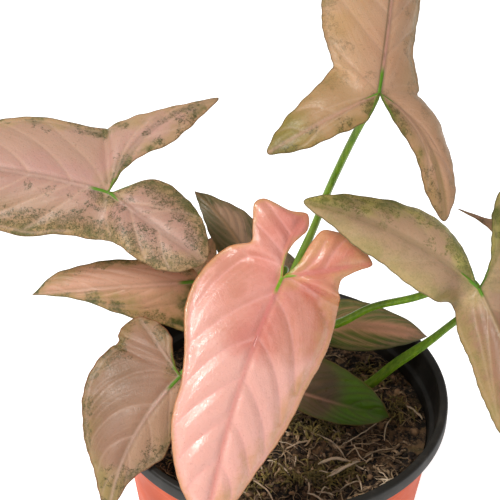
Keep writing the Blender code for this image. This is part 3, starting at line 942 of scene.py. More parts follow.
class BladePiece:
    """Turns a blade's form into a fine closed mesh with its veins, margin and finish."""

    MAIN_COLUMNS = 150
    LOBE_COLUMNS = 60
    ROWS = 42
    THICKNESS = 0.6
    EDGE_SHARE, EDGE_WIDTH = 0.45, 2.0
    VEIN_WIDTH = 0.42
    RIB_WIDTH = 0.5
    GROOVE = 0.13
    RIB_VALLEY = 0.28
    RIB_RIDGE = 0.16
    FRESH_RIDGE = 0.45
    PUFF_WIDTH = 3.0
    PUFF_DIP = 0.35
    VALLEY_WIDTH = 1.7
    FRESH_REACH = 9.0
    BY_RIB = 2.5
    OWN_NORMAL = 0.8
    HALF_BLEND = 1.5
    LOBE_BLEND = 0.25
    FLOW_BENDS = (0.3, -0.25, 0.34)
    VEIN_STEPS, EDGE_VEIN_STEPS, RIB_STEPS, RIM_STEPS = 60, 120, 200, 400
    EDGE_VEIN = (2.03, 2.97, 0.93)

    def __init__(self, blade: Blade) -> None:
        """Sets out the grid.

        Args:
            blade: The blade's measures.
        """
        self.blade = blade
        self.form = BladeForm(blade)
        self.rows = round(self.ROWS * blade.fine)
        lobe = round(self.LOBE_COLUMNS * blade.fine)
        main = round(self.MAIN_COLUMNS * blade.fine)
        outer, inner = np.linspace(0, 1, lobe + 1), np.linspace(1, 2, lobe + 1)
        self.places = np.concatenate([outer, inner[1:], np.linspace(2, 3, main + 1)[1:]])

    def lines(self, hand: Hand) -> tuple[list[Array], list[Array], list[Array]]:
        """Gives one side's side veins, its two ribs and its edge as polylines.

        Args:
            hand: Which side.

        Returns:
            The veins, the ribs and the edge.
        """
        out = np.linspace(0, 1, self.VEIN_STEPS)
        veins = []
        for vein in self.form.side(hand).veins:
            p = vein.start + (vein.end - vein.start) * out**vein.turn
            veins.append(self.form.point(hand, p, (out * vein.reach)[:, None])[:, 0])
        first, last, out = self.EDGE_VEIN
        near = np.linspace(first, last, self.EDGE_VEIN_STEPS)
        veins.append(self.form.point(hand, near, np.full((len(near), 1), out))[:, 0])
        fine = np.linspace(0, 3, self.RIM_STEPS)
        rim = self.form.point(hand, fine, np.ones((len(fine), 1)))[:, 0]
        share = np.linspace(0, 1, self.RIB_STEPS)
        ribs = [self.form.basal[hand].at(share), self.form.main.at(share)]
        return veins, ribs, [rim]

    def half(self, hand: Hand) -> tuple[Array, dict[str, Array]]:
        """Shapes one side.

        Args:
            hand: Which side.

        Returns:
            The grid of points, and the numbers that the finish reads at each of them.
        """
        r = np.linspace(0, 1, self.rows + 1)[None] * np.ones((len(self.places), 1))
        points = self.form.point(hand, self.places, r)
        veins, ribs, rim = self.lines(hand)
        to_vein = Finder(veins).distance(points)
        to_rib = Finder(ribs).distance(points)
        to_edge = Finder(rim).distance(points)
        core = np.linalg.norm(points - self.form.start, axis=-1)
        normals = unit(np.cross(np.gradient(points, axis=0), np.gradient(points, axis=1)))
        normals = normals * np.sign((normals * self.form.normal).sum(-1, keepdims=True) + 1e-9)
        own = smooth(to_rib / self.BY_RIB)[..., None]
        normals = unit(self.form.normal + own * self.OWN_NORMAL * (normals - self.form.normal))
        inside = smooth(to_edge / self.PUFF_WIDTH) * smooth(to_rib / self.BY_RIB)
        puff = self.blade.quilt * inside * (smooth(to_vein / self.PUFF_WIDTH) - self.PUFF_DIP)
        vein = np.exp(-((to_vein / self.VEIN_WIDTH) ** 2)) * smooth(to_edge / 1.5) * smooth(to_rib / 0.8)
        rib = np.exp(-((to_rib / self.RIB_WIDTH) ** 2))
        valley = np.exp(-((to_rib / self.VALLEY_WIDTH) ** 2))
        fresh = self.RIB_RIDGE + self.FRESH_RIDGE * np.exp(-((core / self.FRESH_REACH) ** 2))
        lift = puff - self.GROOVE * vein + rib * fresh - self.RIB_VALLEY * valley
        points = points + lift[..., None] * normals
        p = self.places[:, None] + 0 * r
        inner, outer, main = self.FLOW_BENDS
        bend = np.where(p > 2, main, np.where(p > 1, outer, inner))
        half = 0.5 * smooth(to_rib / self.HALF_BLEND)
        numbers = {
            "edge": to_edge,
            "rib": rib,
            "vein": vein,
            "core": core,
            "reach": r,
            "flow": p - bend * r**1.8,
            "half": 0.5 + hand.value * half,
            "spine": to_rib,
            "lobe": smooth((2 - p) / self.LOBE_BLEND),
            "sinus": 0.5 + np.where(p < 1, 1, -1) * half,
        }
        return points, numbers

    def build(self) -> Piece:
        """Makes the piece in place of its solid.

        Returns:
            The piece.
        """
        sheet = self.sheet()
        finishes = [self.blade.finish.top(), self.blade.finish.bottom()]
        piece = add_piece(self.blade.name + "_leaf", sheet, finishes, self.blade.slot)
        piece.vertex_groups.new(name="flesh")
        solid = piece.modifiers.new("thickness", "SOLIDIFY")
        solid.thickness = self.THICKNESS * MM
        solid.offset = -1
        solid.vertex_group = "flesh"
        solid.material_offset = 1
        solid.material_offset_rim = 0
        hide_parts(self.blade.name)
        return piece

    def sheet(self) -> Mesh:
        """Bends one grid over both sides.

        Returns:
            The blade's top face, with its numbers and the share of its full thickness.
        """
        left, left_numbers = self.half(Hand.LEFT)
        right, right_numbers = self.half(Hand.RIGHT)
        points = np.concatenate([left, right[::-1][1:]]) * MM
        numbers = {}
        for name, values in left_numbers.items():
            numbers[name] = np.concatenate([values, right_numbers[name][::-1][1:]])
        columns = len(points) - 1
        bm = bmesh.new()
        bmesh.ops.create_grid(bm, x_segments=columns, y_segments=self.rows, size=0.5)
        layers = {name: bm.verts.layers.float.new(name) for name in numbers}
        deform = bm.verts.layers.deform.verify()
        for vert in bm.verts:
            column = round((vert.co.x + 0.5) * columns)
            row = round((vert.co.y + 0.5) * self.rows)
            vert.co = points[column, row]
            for name, layer in layers.items():
                vert[layer] = numbers[name][column, row]
            inner = float(smooth(vert[layers["edge"]] / self.EDGE_WIDTH))
            vert[deform][0] = self.EDGE_SHARE + (1 - self.EDGE_SHARE) * inner
        bmesh.ops.remove_doubles(bm, verts=bm.verts, dist=MERGE)
        bmesh.ops.recalc_face_normals(bm, faces=bm.faces)
        up = Vector(self.form.normal)
        if sum(face.normal.dot(up) * face.calc_area() for face in bm.faces) < 0:
            bmesh.ops.reverse_faces(bm, faces=bm.faces)
        return bm


def add_piece(name: str, bm: Mesh, finishes: Sequence[Material], slot: str) -> Piece:
    """Makes an object of a bmesh, smooth-shaded, that rides on the root body.

    Args:
        name: The piece's name.
        bm: Its mesh, which is freed.
        finishes: Its materials, in the order of the faces' indices.
        slot: The name of the piece's material slot; it is not used.

    Returns:
        The object.
    """
    mesh = bpy.data.meshes.new(name)
    bm.to_mesh(mesh)
    bm.free()
    mesh.shade_smooth()
    for finish in finishes:
        mesh.materials.append(finish)
    piece = bpy.data.objects.new(name, mesh)
    bpy.context.scene.collection.objects.link(piece)
    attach(piece, ROOT)
    return piece


def sweep(
    bm: Mesh,
    path: Array,
    radius: Callable[[Array, Array], Array],
    sides: int,
    layer: bmesh.types.BMLayerItem | None = None,
    start_up: Array | None = None,
) -> None:
    """Bends a grid round a path into a tube with closed ends.

    Args:
        bm: The mesh that it is added to.
        path: The centreline, in millimetres.
        radius: Gives the radius for shares along the path and angles round it.
        sides: Faces round the tube.
        layer: A float layer that is given the share along the path.
        start_up: The direction of angle 0 at the path's start.
    """
    count = len(path)
    ahead = unit(np.gradient(path, axis=0))
    up = np.array([0.0, 0.0, 1.0]) if start_up is None else np.asarray(start_up, float)
    ups = []
    for direction in ahead:
        up = unit(up - (up @ direction) * direction)
        ups.append(up)
    ups = np.array(ups)
    across = np.cross(ahead, ups)
    share = np.linspace(0, 1, count)
    angle = np.linspace(0, tau, sides + 1)
    wide = radius(share[:, None], angle[None]) + 0 * share[:, None] * angle[None]
    ring = np.cos(angle)[None, :, None] * ups[:, None] + np.sin(angle)[None, :, None] * across[:, None]
    points = (path[:, None] + wide[..., None] * ring) * MM
    made = bmesh.ops.create_grid(bm, x_segments=count - 1, y_segments=sides, size=0.5)["verts"]
    for vert in made:
        column = round((vert.co.x + 0.5) * (count - 1))
        row = round((vert.co.y + 0.5) * sides)
        vert.co = points[column, row % sides]
        if layer is not None:
            vert[layer] = share[column]
    bmesh.ops.remove_doubles(bm, verts=made, dist=FINE_MERGE)
    made = [vert for vert in made if vert.is_valid]
    bmesh.ops.holes_fill(bm, edges=list({edge for vert in made for edge in vert.link_edges}), sides=0)
    bmesh.ops.recalc_face_normals(bm, faces=list({face for vert in made for face in vert.link_faces}))


def spin(bm: Mesh, profile: Sequence[Flat], sides: int) -> None:
    """Turns a profile about Z into a closed body.

    Args:
        bm: The mesh that it is made in.
        profile: Points of radius and height, in millimetres.
        sides: Steps round the body.
    """
    verts = [bm.verts.new((radius * MM, 0, height * MM)) for radius, height in profile]
    edges = [bm.edges.new(pair) for pair in zip(verts, verts[1:])]
    bmesh.ops.spin(
        bm,
        geom=verts + edges,
        axis=(0, 0, 1),
        cent=(0, 0, 0),
        angle=tau,
        steps=sides,
        use_merge=True,
    )
    bmesh.ops.remove_doubles(bm, verts=bm.verts, dist=MERGE)
    bmesh.ops.recalc_face_normals(bm, faces=bm.faces)


def arc(middle: Flat, radius: float, start: float, end: float, steps: int) -> list[Flat]:
    """Gives the points of an arc of a profile.

    Args:
        middle: The arc's middle.
        radius: Its radius.
        start: The angle that it starts at.
        end: The angle that it ends at.
        steps: How many steps it has.

    Returns:
        The points.
    """
    angles = [radians(start + (end - start) * step / steps) for step in range(steps + 1)]
    return [(middle[0] + radius * cos(angle), middle[1] + radius * sin(angle)) for angle in angles]


@dataclass(frozen=True)
class Petiole:
    """A leaf stalk, with the points that it passes on its way from its tuft's stem to its blade.

    turn is how far behind the junction it comes in line with the blade's rib.
    """

    blade: str
    route: tuple[Point, ...]
    turn: float = 2.4


@dataclass(frozen=True)
class Tuft:
    """A short stem in the soil with the stalks that grow from it."""

    name: str
    place: Flat
    petioles: tuple[Petiole, ...]

    SOIL_TOP = 78.0
    ROOT_DEPTH = 2.0
    FOOT, SHEATH, BARE, END = 1.9, 1.5, 1.15, 0.8
    FOOT_SHARE, SHEATH_SHARE, SHEATH_FADE = 0.25, 0.35, 0.25
    SEAT = 2.6
    STEM_RADIUS, STEM_TAPER = 4.2, 0.6
    STEM_ABOVE, STEM_BELOW = 5.0, 14.0
    STEM_STEPS, STEM_SIDES = 20, 32
    STEM_WAIST, STEM_FLUTE, STEM_FLUTES = 0.12, 0.05, 5
    STEPS, SIDES, CURVE_STEPS = 90, 28, 24
    CLEARANCE = 0.45
    RIBS, RIB_HEIGHT = 9, 0.025
    CHANNEL, CHANNEL_LOST, CHANNEL_WIDTH = 0.28, 0.16, 0.5
    WING, WING_ANGLE, WING_WIDTH = 0.16, 0.9, 0.28
    END_SHARE = 0.05

    def path(self, petiole: Petiole, form: BladeForm) -> Array:
        """Gives the stalk's centreline, from inside the stem to where it meets the blade's underside.

        Args:
            petiole: The stalk.
            form: Its blade's form.

        Returns:
            One point a row.
        """
        under = self.CLEARANCE + self.BARE
        ahead = form.main.along(np.array([0.0]))[0]
        below = form.start - under * form.normal
        start = np.array([*self.place, self.SOIL_TOP - self.ROOT_DEPTH])
        route = [np.array(point, float) for point in petiole.route]
        points = np.array([start, *route, below - petiole.turn * ahead, below + self.SEAT * ahead])
        fine = through(points, np.linspace(0, len(points) - 1, self.CURVE_STEPS * len(points)))
        length = np.concatenate([[0], np.cumsum(np.linalg.norm(np.diff(fine, axis=0), axis=1))])
        at = np.linspace(0, length[-1], self.STEPS + 1)
        return np.stack([np.interp(at, length, fine[:, axis]) for axis in range(3)], axis=1)

    def radius(self, share: Array, angle: Array) -> Array:
        """Gives the stalk's radius: a winged sheath below, a faint channel and fine ribs above.

        Args:
            share: Shares of the way along it.
            angle: Angles round it, from the channel.

        Returns:
            The radii.
        """
        foot = 1 - smooth(share / self.FOOT_SHARE)
        sheath = self.SHEATH + (self.FOOT - self.SHEATH) * foot
        bare = smooth((share - self.SHEATH_SHARE) / self.SHEATH_FADE)
        radius = sheath + (self.BARE - sheath) * bare
        radius = radius + (self.END - radius) * smooth((share - 1 + self.END_SHARE) / self.END_SHARE)
        ribs = 1 + self.RIB_HEIGHT * np.cos(self.RIBS * angle)
        off = np.minimum(angle, tau - angle)
        depth = self.CHANNEL - self.CHANNEL_LOST * bare
        channel = 1 - depth * np.exp(-((off / self.CHANNEL_WIDTH) ** 2))
        wing = np.exp(-(((off - self.WING_ANGLE) / self.WING_WIDTH) ** 2))
        wings = 1 + self.WING * (1 - bare) * wing
        return radius * ribs * channel * wings

    def build(self, forms: dict[str, BladeForm], finish: Material) -> Piece:
        """Makes the stem and its stalks in place of their solid.

        Args:
            forms: The blades' forms, by name.
            finish: The stalks' material.

        Returns:
            The piece.
        """
        bm = bmesh.new()
        layer = bm.verts.layers.float.new("share")
        depth = self.STEM_ABOVE + self.STEM_BELOW
        heights = np.linspace(-self.STEM_BELOW, self.STEM_ABOVE, self.STEM_STEPS)
        stem = np.array([(*self.place, self.SOIL_TOP + height) for height in heights])

        def girth(share: Array, angle: Array) -> Array:
            """Gives the stem's radius, with a swollen node near its top.

            Args:
                share: How far up the stem.
                angle: How far round it.

            Returns:
                The radius, in millimetres.
            """
            plain = self.STEM_RADIUS * (1 - (1 - self.STEM_TAPER) * share)
            above = smooth((share - self.STEM_BELOW / depth) * 6)
            flutes = self.STEM_FLUTE * np.cos(self.STEM_FLUTES * angle + 9 * share)
            return plain * (1 - self.STEM_WAIST * above + flutes * above)

        sweep(bm, stem, girth, self.STEM_SIDES, layer, np.array([1.0, 0, 0]))
        for petiole in self.petioles:
            form = forms[petiole.blade]
            sweep(bm, self.path(petiole, form), self.radius, self.SIDES, layer, form.normal)
        piece = add_piece(self.name + "_stalks", bm, [finish], "stalk")
        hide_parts(self.name)
        return piece


def stalk_finish() -> Material:
    """Makes the stalks' fleshy green: paler at the foot, with fine lengthwise streaks.

    Returns:
        The material.
    """
    graph = Graph("stalk_flesh")
    share = graph.attribute("share")
    long = graph.tree.nodes.new("ShaderNodeMapping")
    graph.put(long.inputs["Vector"], graph.place)
    long.inputs["Scale"].default_value = (1, 1, 0.16)
    streak = graph.noise(900, 3, 0.6, long.outputs[0])
    colour = graph.blend(srgb(112, 145, 26), srgb(80, 117, 8), graph.band(streak, 0.3, 0.75))
    colour = graph.blend(colour, srgb(140, 162, 54), graph.band(graph.noise(60, 2), 0.5, 0.8, 0.0, 0.4))
    colour = graph.blend(srgb(168, 160, 104), colour, graph.band(share, 0.0, 0.22))
    colour = graph.blend(colour, srgb(108, 152, 30), graph.band(share, 0.85, 1.0, 0.0, 0.6))
    relief = graph.bump(streak, 0.00008, 0.4)
    return graph.finish(
        Base_Color=colour,
        Roughness=graph.band(streak, 0.3, 0.7, 0.34, 0.46),
        Specular_IOR_Level=0.35,
        Subsurface_Weight=0.12,
        Subsurface_Radius=(0.6, 1.0, 0.25),
        Subsurface_Scale=0.0015,
        Normal=relief,
    )


@dataclass(frozen=True)
class NurseryPot:
    """The moulded pot: terracotta outside, black over its lip and inside, with a stacking ledge.

    ledge_in and shelf are the inner profile by the ledge, ledge_out the outer one, and lip_under
    and foot those under the lip and at the foot. They are steps out and up from the edges there.
    """

    height: float = 90.0
    base_radius: float = 38.0
    rim_radius: float = 53.0
    wall: float = 1.3
    floor: float = 2.0
    chamfer: float = 1.5
    ledge: float = 80.0
    ledge_step: float = 1.6
    collar: float = 50.6
    lip: float = 5.0
    lip_inner: float = 50.2
    lip_round: float = 1.1
    corner: float = 1.2
    ledge_in: tuple[Flat, ...] = ((0, -0.3), (0.12, 0), (0.35, 0.12))
    shelf: tuple[Flat, ...] = ((-0.3, 0.25), (0, 0.6), (0.25, 2.5))
    lip_under: tuple[Flat, ...] = ((0.7, 0), (0.35, -0.15), (0.2, -0.5))
    ledge_out: tuple[Flat, ...] = ((0.7, -0.45), (0.1, -1))
    ledge_depth: float = 1.8
    foot: tuple[Flat, ...] = ((-0.4, 0.45), (-1.5, 0), (-5, 0), (-12, 0))
    fold_angle: float = 50.0
    sides: int = 160
    slots: int = 8
    slot_radius: float = 29.0
    slot_length: float = 9.0
    slot_width: float = 3.4

    def outside(self, z: float) -> float:
        """Gives the outer radius below the collar."""
        return self.base_radius + (self.collar - self.ledge_step - self.base_radius) * z / self.ledge

    def inside(self) -> list[Flat]:
        """Gives the inner half of the profile, from the floor's middle to the lip's top.

        Returns:
            The points.
        """
        at_floor = self.outside(self.floor) - self.wall
        low = self.floor + self.corner
        points = [(0, self.floor), (at_floor / 2, self.floor)]
        points += arc((at_floor - self.corner, low), self.corner, -90, 0, 4)
        for z in np.linspace(low, self.ledge - 0.4, 9)[1:-1]:
            points.append((self.outside(z) - self.wall, z))
        edge = self.outside(self.ledge) - self.wall
        points += [(edge + out, self.ledge + up) for out, up in self.ledge_in]
        points += [(self.collar - self.wall + out, self.ledge + up) for out, up in self.shelf]
        points += [(self.lip_inner - 0.2, self.height - self.lip)]
        middle = (self.lip_inner + self.lip_round, self.height - self.lip_round)
        return points + arc(middle, self.lip_round, 180, 90, 6)

    def outer(self) -> list[Flat]:
        """Gives the outer half of the profile, from the lip's top to the underside's middle.

        Returns:
            The points.
        """
        under = self.height - self.lip
        round_under = self.lip_round / 2
        rim = (self.rim_radius - self.lip_round, self.height - self.lip_round)
        points = arc(rim, self.lip_round, 90, 0, 6)
        points += [(self.rim_radius, self.height - self.lip / 2)]
        points += arc((self.rim_radius - round_under, under + round_under), round_under, 0, -90, 4)
        points += [(self.collar + out, under + up) for out, up in self.lip_under]
        points += [(self.collar, self.ledge + 0.5), (self.collar - 0.15, self.ledge)]
        points += [(self.outside(self.ledge) + out, self.ledge + up) for out, up in self.ledge_out]
        wall = np.linspace(self.ledge - self.ledge_depth, self.chamfer, 10)
        points += [(self.outside(z), z) for z in wall]
        points += [(self.base_radius + out, up) for out, up in self.foot]
        return points + [(0, 0)]

    def build(self) -> Piece:
        """Makes the pot in place of its solid, with its drain slots cut through the floor.

        Returns:
            The piece.
        """
        bm = bmesh.new()
        spin(bm, [*self.inside(), *self.outer()[1:]], self.sides)
        under = (self.height - self.lip - 0.05) * MM
        for face in bm.faces:
            middle = face.calc_center_median()
            out = face.normal.dot(Vector((middle.x, middle.y, 0))) > 0 or middle.z < self.floor / 2 * MM
            face.material_index = 0 if out and middle.z < under else 1
        piece = add_piece("moulded_pot", bm, [self.terracotta(), self.black()], "pot")
        cutters = self.cutters()
        cut = piece.modifiers.new("drain_slots", "BOOLEAN")
        cut.operation = "DIFFERENCE"
        cut.object = cutters
        graph = bpy.context.evaluated_depsgraph_get()
        finished = bpy.data.meshes.new_from_object(piece.evaluated_get(graph))
        piece.modifiers.clear()
        piece.data = finished
        finished.set_sharp_from_angle(angle=radians(self.fold_angle))
        bpy.data.objects.remove(cutters)
        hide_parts("nursery_pot")
        return piece

    def cutters(self) -> Piece:
        """Makes one object of all the drain slots' cutters.

        Returns:
            The object.
        """
        bm = bmesh.new()
        for number in range(self.slots):
            angle = tau * number / self.slots
            made = bmesh.ops.create_cube(bm, size=1)["verts"]
            size = Vector((self.slot_length, self.slot_width, 3 * self.floor)) * MM
            bmesh.ops.scale(bm, verts=made, vec=size)
            turn = Matrix.Rotation(angle, 4, "Z")
            place = Vector((cos(angle), sin(angle), 0)) * self.slot_radius * MM
            bmesh.ops.transform(bm, verts=made, matrix=Matrix.Translation(place) @ turn)
        mesh = bpy.data.meshes.new("slots")
        bm.to_mesh(mesh)
        bm.free()
        cutters = bpy.data.objects.new("slots", mesh)
        bpy.context.scene.collection.objects.link(cutters)
        return cutters

    def terracotta(self) -> Material:
        """Makes the outside's terracotta plastic, faintly clouded, with fine scuffs.

        Returns:
            The material.
        """
        graph = Graph("terracotta_plastic")
        cloud = graph.noise(28, 3)
        colour = graph.blend(srgb(204, 84, 40), srgb(186, 70, 31), graph.band(cloud, 0.35, 0.7))
        fleck = graph.band(graph.noise(700, 2), 0.66, 0.74, 0.0, 0.3)
        colour = graph.blend(colour, srgb(214, 124, 90), fleck)
        relief = graph.bump(graph.noise(420, 3), 0.00012, 0.4)
        return graph.finish(
            Base_Color=colour,
            Roughness=graph.band(graph.noise(120, 4), 0.3, 0.7, 0.46, 0.58),
            Specular_IOR_Level=0.18,
            Normal=relief,
        )

    def black(self) -> Material:
        """Makes the lip's and the inside's satin black plastic, with dust and soil stains.

        Returns:
            The material.
        """
        graph = Graph("black_plastic")
        dust = graph.band(graph.noise(160, 5, 0.65), 0.5, 0.8, 0.0, 0.55)
        colour = graph.blend(srgb(32, 30, 27), srgb(70, 65, 59), dust)
        relief = graph.bump(graph.noise(500, 3), 0.00012, 0.4)
        return graph.finish(
            Base_Color=colour,
            Roughness=graph.band(graph.noise(90, 4), 0.3, 0.7, 0.45, 0.6),
            Specular_IOR_Level=0.28,
            Normal=relief,
        )


@dataclass(frozen=True)
class Patch:
    """A patch of the soil's top, about x and y, that reaches radius millimetres."""

    x: float
    y: float
    radius: float


@dataclass(frozen=True)
class Strand:
    """One lasting strand of straw.

    start and end are the places of its ends, bend is how far its middle stands aside, width is a
    share of the widest, and rise is how far it stands off the top.
    """

    start: Flat
    end: Flat
    bend: float
    width: float
    rise: float = 1.0


@dataclass(frozen=True)
class Litter:
    """One kind of loose strands, which lie about at random.

    piece and finish name the piece and its material, and dark and pale are the colours of its
    strands. front is the share that falls in the litter at the front. A strand's length and girth
    lie between two bounds, flat is how flat it is, and flatter how much more some are. curl is how
    much it wanders and lift how high its middle may arch.
    """

    piece: str
    finish: str
    dark: Colour
    pale: Colour
    count: int
    length: Flat
    girth: Flat
    curl: float
    lift: float
    flat: float
    flatter: float = 0.0
    front: float = 0.0


CHIPS = Litter(
    piece="soil_chips",
    finish="bark_chip",
    dark=srgb(52, 36, 23),
    pale=srgb(200, 168, 132),
    count=300,
    length=(1.8, 5.5),
    girth=(0.22, 0.5),
    curl=0.14, lift=0.8, flat=0.62, front=0.5,
)
FIBRES = Litter(
    piece="soil_fibres",
    finish="brown_fibre",
    dark=srgb(84, 64, 44),
    pale=srgb(186, 158, 122),
    count=210,
    length=(5, 15),
    girth=(0.08, 0.2),
    curl=0.3, lift=1.4, flat=0.0, flatter=0.4, front=0.45,
)
STRAW = Litter(
    piece="soil_straw",
    finish="pale_straw",
    dark=srgb(184, 158, 128),
    pale=srgb(240, 218, 190),
    count=34,
    length=(5, 13),
    girth=(0.14, 0.3),
    curl=0.13, lift=1.8, flat=0.4, front=0.92,
)
MOSS = Litter(
    piece="soil_moss",
    finish="dry_moss",
    dark=srgb(84, 74, 34),
    pale=srgb(162, 142, 80),
    count=520,
    length=(2, 5.5),
    girth=(0.12, 0.3),
    curl=0.5, lift=2.0, flat=0.3,
)


@dataclass(frozen=True)
class Soil:
    """The potting soil: crumbs, chips, straw, fibres and dry moss on an uneven dark top.

    lumps holds the width and height of four sizes of lump, and sink is how far the second size
    sits into the top. crumb is the least size of a crumb and how much larger it may be, wall_gap
    is how far crumbs, strands and strewn litter stay from the pot's wall, and widest and flattest
    describe the lasting straws. SQUASH holds the least of each of a crumb's three scales, and how
    much more it may be.
    """

    SQUASH = ((0.8, 0.7), (0.7, 0.5), (0.5, 0.4))

    top: float = 78.0
    radius: float = 47.05
    floor_radius: float = 36.6
    floor: float = 2.3
    bump: float = 1.6
    bump_size: float = 14.0
    edge_drop: float = 1.2
    even_edge: float = 0.9
    rings: int = 104
    sides: int = 380
    edge_fall: float = 1.4
    lumps: tuple[Flat, ...] = ((4.2, 1.3), (1.9, 0.9), (0.9, 0.5), (0.45, 0.25))
    sink: float = 0.3
    crumbs: int = 1000
    crumb: Flat = (0.35, 1.2)
    wall_gap: Point = (1.6, 1.3, 3.0)
    strand_points: int = 10
    strand_sides: int = 6
    widest: float = 0.42
    flattest: float = 0.45
    seed: int = 11
    litter: Patch = Patch(10, -26, 30)
    mossy: tuple[Patch, ...] = (
        Patch(7, -4, 6), Patch(14, -5, 5), Patch(5, -24, 8), Patch(14, -26, 7), Patch(-6, -28, 9),
        Patch(-24, -20, 9), Patch(22, -22, 5), Patch(38, 6, 6), Patch(30, 22, 7), Patch(-30, 16, 9),
    )
    strands: tuple[Strand, ...] = (
        Strand((12.5, -19.5), (22.5, -17.6), 0.6, 1.1, 1.6),
        Strand((15.2, -25.5), (25.6, -18.6), -0.5, 1.0, 1.8),
        Strand((16.0, -23.6), (24.5, -20.2), 0.4, 0.7, 1.2),
        Strand((11.7, -6.3), (20.9, -16.3), 1.2, 0.55),
        Strand((20.9, -16.3), (28.2, -23.2), -1.6, 0.5, 1.4),
        Strand((20.6, -10.4), (32.3, -0.5), -0.8, 0.45),
        Strand((33.4, -9.2), (35.8, 1.5), 0.7, 0.45),
        Strand((26.5, -17.4), (36.2, -12.2), 0.5, 0.5),
        Strand((23.9, -23.6), (25.9, -30.9), 0.3, 0.6),
        Strand((9.0, -32.6), (14.5, -36.6), 0.2, 0.6),
        Strand((11.8, -32.0), (17.5, -33.2), -0.3, 0.55),
        Strand((7.5, -25.0), (9.5, -32.0), 1.0, 0.55),
        Strand((-9.0, -27.0), (-1.0, -37.0), 1.4, 0.5),
        Strand((19.0, -31.0), (26.0, -27.0), 0.6, 0.5),
        Strand((-20.0, -30.0), (-9.0, -34.0), 0.9, 0.5),
    )

    def relief(self, x: float, y: float) -> float:
        """Gives the height of the soil's top.

        Args:
            x: How far to the right.
            y: How far back.

        Returns:
            The height, in millimetres.
        """
        share = (x * x + y * y) ** 0.5 / self.radius
        uneven = 1 - float(smooth((share - self.even_edge) / (1 - self.even_edge)))
        place = Vector((x, y, self.top))
        height = self.bump * uneven * noise.noise(place / self.bump_size)
        clods, crusts, grit, dust = (high * noise.noise(place / wide) for wide, high in self.lumps)
        lumps = clods + abs(crusts) - self.sink + (grit + dust)
        return self.top + height - self.edge_drop * share**6 + lumps * (0.3 + 0.7 * uneven)

    def body(self, finish: Material) -> Piece:
        """Makes the soil's own body in place of its solid.

        Args:
            finish: Its material.

        Returns:
            The piece.
        """
        profile = [(self.radius * ring / self.rings, self.top) for ring in range(self.rings + 1)]
        for part in range(1, 5):
            share = part / 4
            across = self.radius + (self.floor_radius - self.radius) * share
            below = self.top - self.edge_fall
            profile.append((across, below + (self.floor - below) * share))
        profile.append((0, self.floor))
        bm = bmesh.new()
        spin(bm, profile, self.sides)
        for vert in bm.verts:
            if vert.co.z > (self.top - 0.5) * MM:
                vert.co.z = self.relief(vert.co.x / MM, vert.co.y / MM) * MM
        piece = add_piece("soil_body", bm, [finish], "soil")
        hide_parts("potting_soil")
        return piece

    def scatter(self, draw: np.random.Generator, count: int, margin: float, front: float = 0.0) -> Array:
        """Gives random places on the soil's top.

        Args:
            draw: The source of chance.
            count: How many places.
            margin: The least distance to the pot's wall.
            front: The share that falls in the litter at the front.

        Returns:
            One place a row, in millimetres.
        """
        far = np.sqrt(draw.random(count))
        angle = tau * draw.random(count)
        ahead = draw.random(count) < front
        spread = np.where(ahead, self.litter.radius, self.radius - margin)
        flat = np.stack([np.cos(angle), np.sin(angle)], axis=1) * (far * spread)[:, None]
        flat = flat + np.where(ahead, 1.0, 0.0)[:, None] * [self.litter.x, self.litter.y]
        return self.inside(flat, margin)

    def inside(self, flat: Array, margin: float) -> Array:
        """Draws places that lie too far out back inside the wall."""
        far = np.linalg.norm(flat, axis=1, keepdims=True)
        return flat * np.minimum(1, (self.radius - margin) / np.maximum(far, 1e-6))

    def crumb_piece(self, draw: np.random.Generator, finish: Material) -> Piece:
        """Makes loose crumbs of peat and bark, half sunk in the top.

        Args:
            draw: The source of chance.
            finish: Their material.

        Returns:
            The piece.
        """
        bm = bmesh.new()
        least, more = self.crumb
        for x, y in self.scatter(draw, self.crumbs, self.wall_gap[0]):
            size = least + more * draw.random() ** 2.5
            made = bmesh.ops.create_icosphere(bm, subdivisions=1, radius=size * MM)["verts"]
            squash = Vector([low + spread * draw.random() for low, spread in self.SQUASH])
            for vert in made:
                vert.co = vert.co * (0.7 + 0.6 * draw.random())
            bmesh.ops.scale(bm, verts=made, vec=squash)
            place = Vector((x, y, self.relief(x, y) + 0.15 * size)) * MM
            turn = Matrix.Rotation(tau * draw.random(), 4, "Z") @ Matrix.Rotation(draw.random(), 4, "X")
            bmesh.ops.transform(bm, verts=made, matrix=Matrix.Translation(place) @ turn)
        return add_piece("soil_crumbs", bm, [finish], "soil")

    def wander(self, draw: np.random.Generator, kind: Litter, x: float, y: float) -> Array:
        """Lays a strand on the top.

        Args:
            draw: The source of chance.
            kind: The kind of strand.
            x: Where its middle lies, across.
            y: Where its middle lies, front to back.

        Returns:
            Its points.
        """
        count = self.strand_points
        length = draw.uniform(*kind.length)
        heading = tau * draw.random() + np.cumsum(kind.curl * draw.normal(size=count))
        step = length / (count - 1)
        flat = np.cumsum(np.stack([np.cos(heading), np.sin(heading)], axis=1) * step, axis=0)
        flat = self.inside(flat - flat.mean(axis=0) + [x, y], self.wall_gap[1])
        share = np.linspace(-1, 1, count)
        rise = draw.uniform(0.1, kind.lift) * (1 - share**2) + draw.uniform(-0.4, 0.5) * share
        height = [self.relief(px, py) for px, py in flat]
        return np.concatenate([flat, (np.array(height) + 0.2 + rise)[:, None]], axis=1)

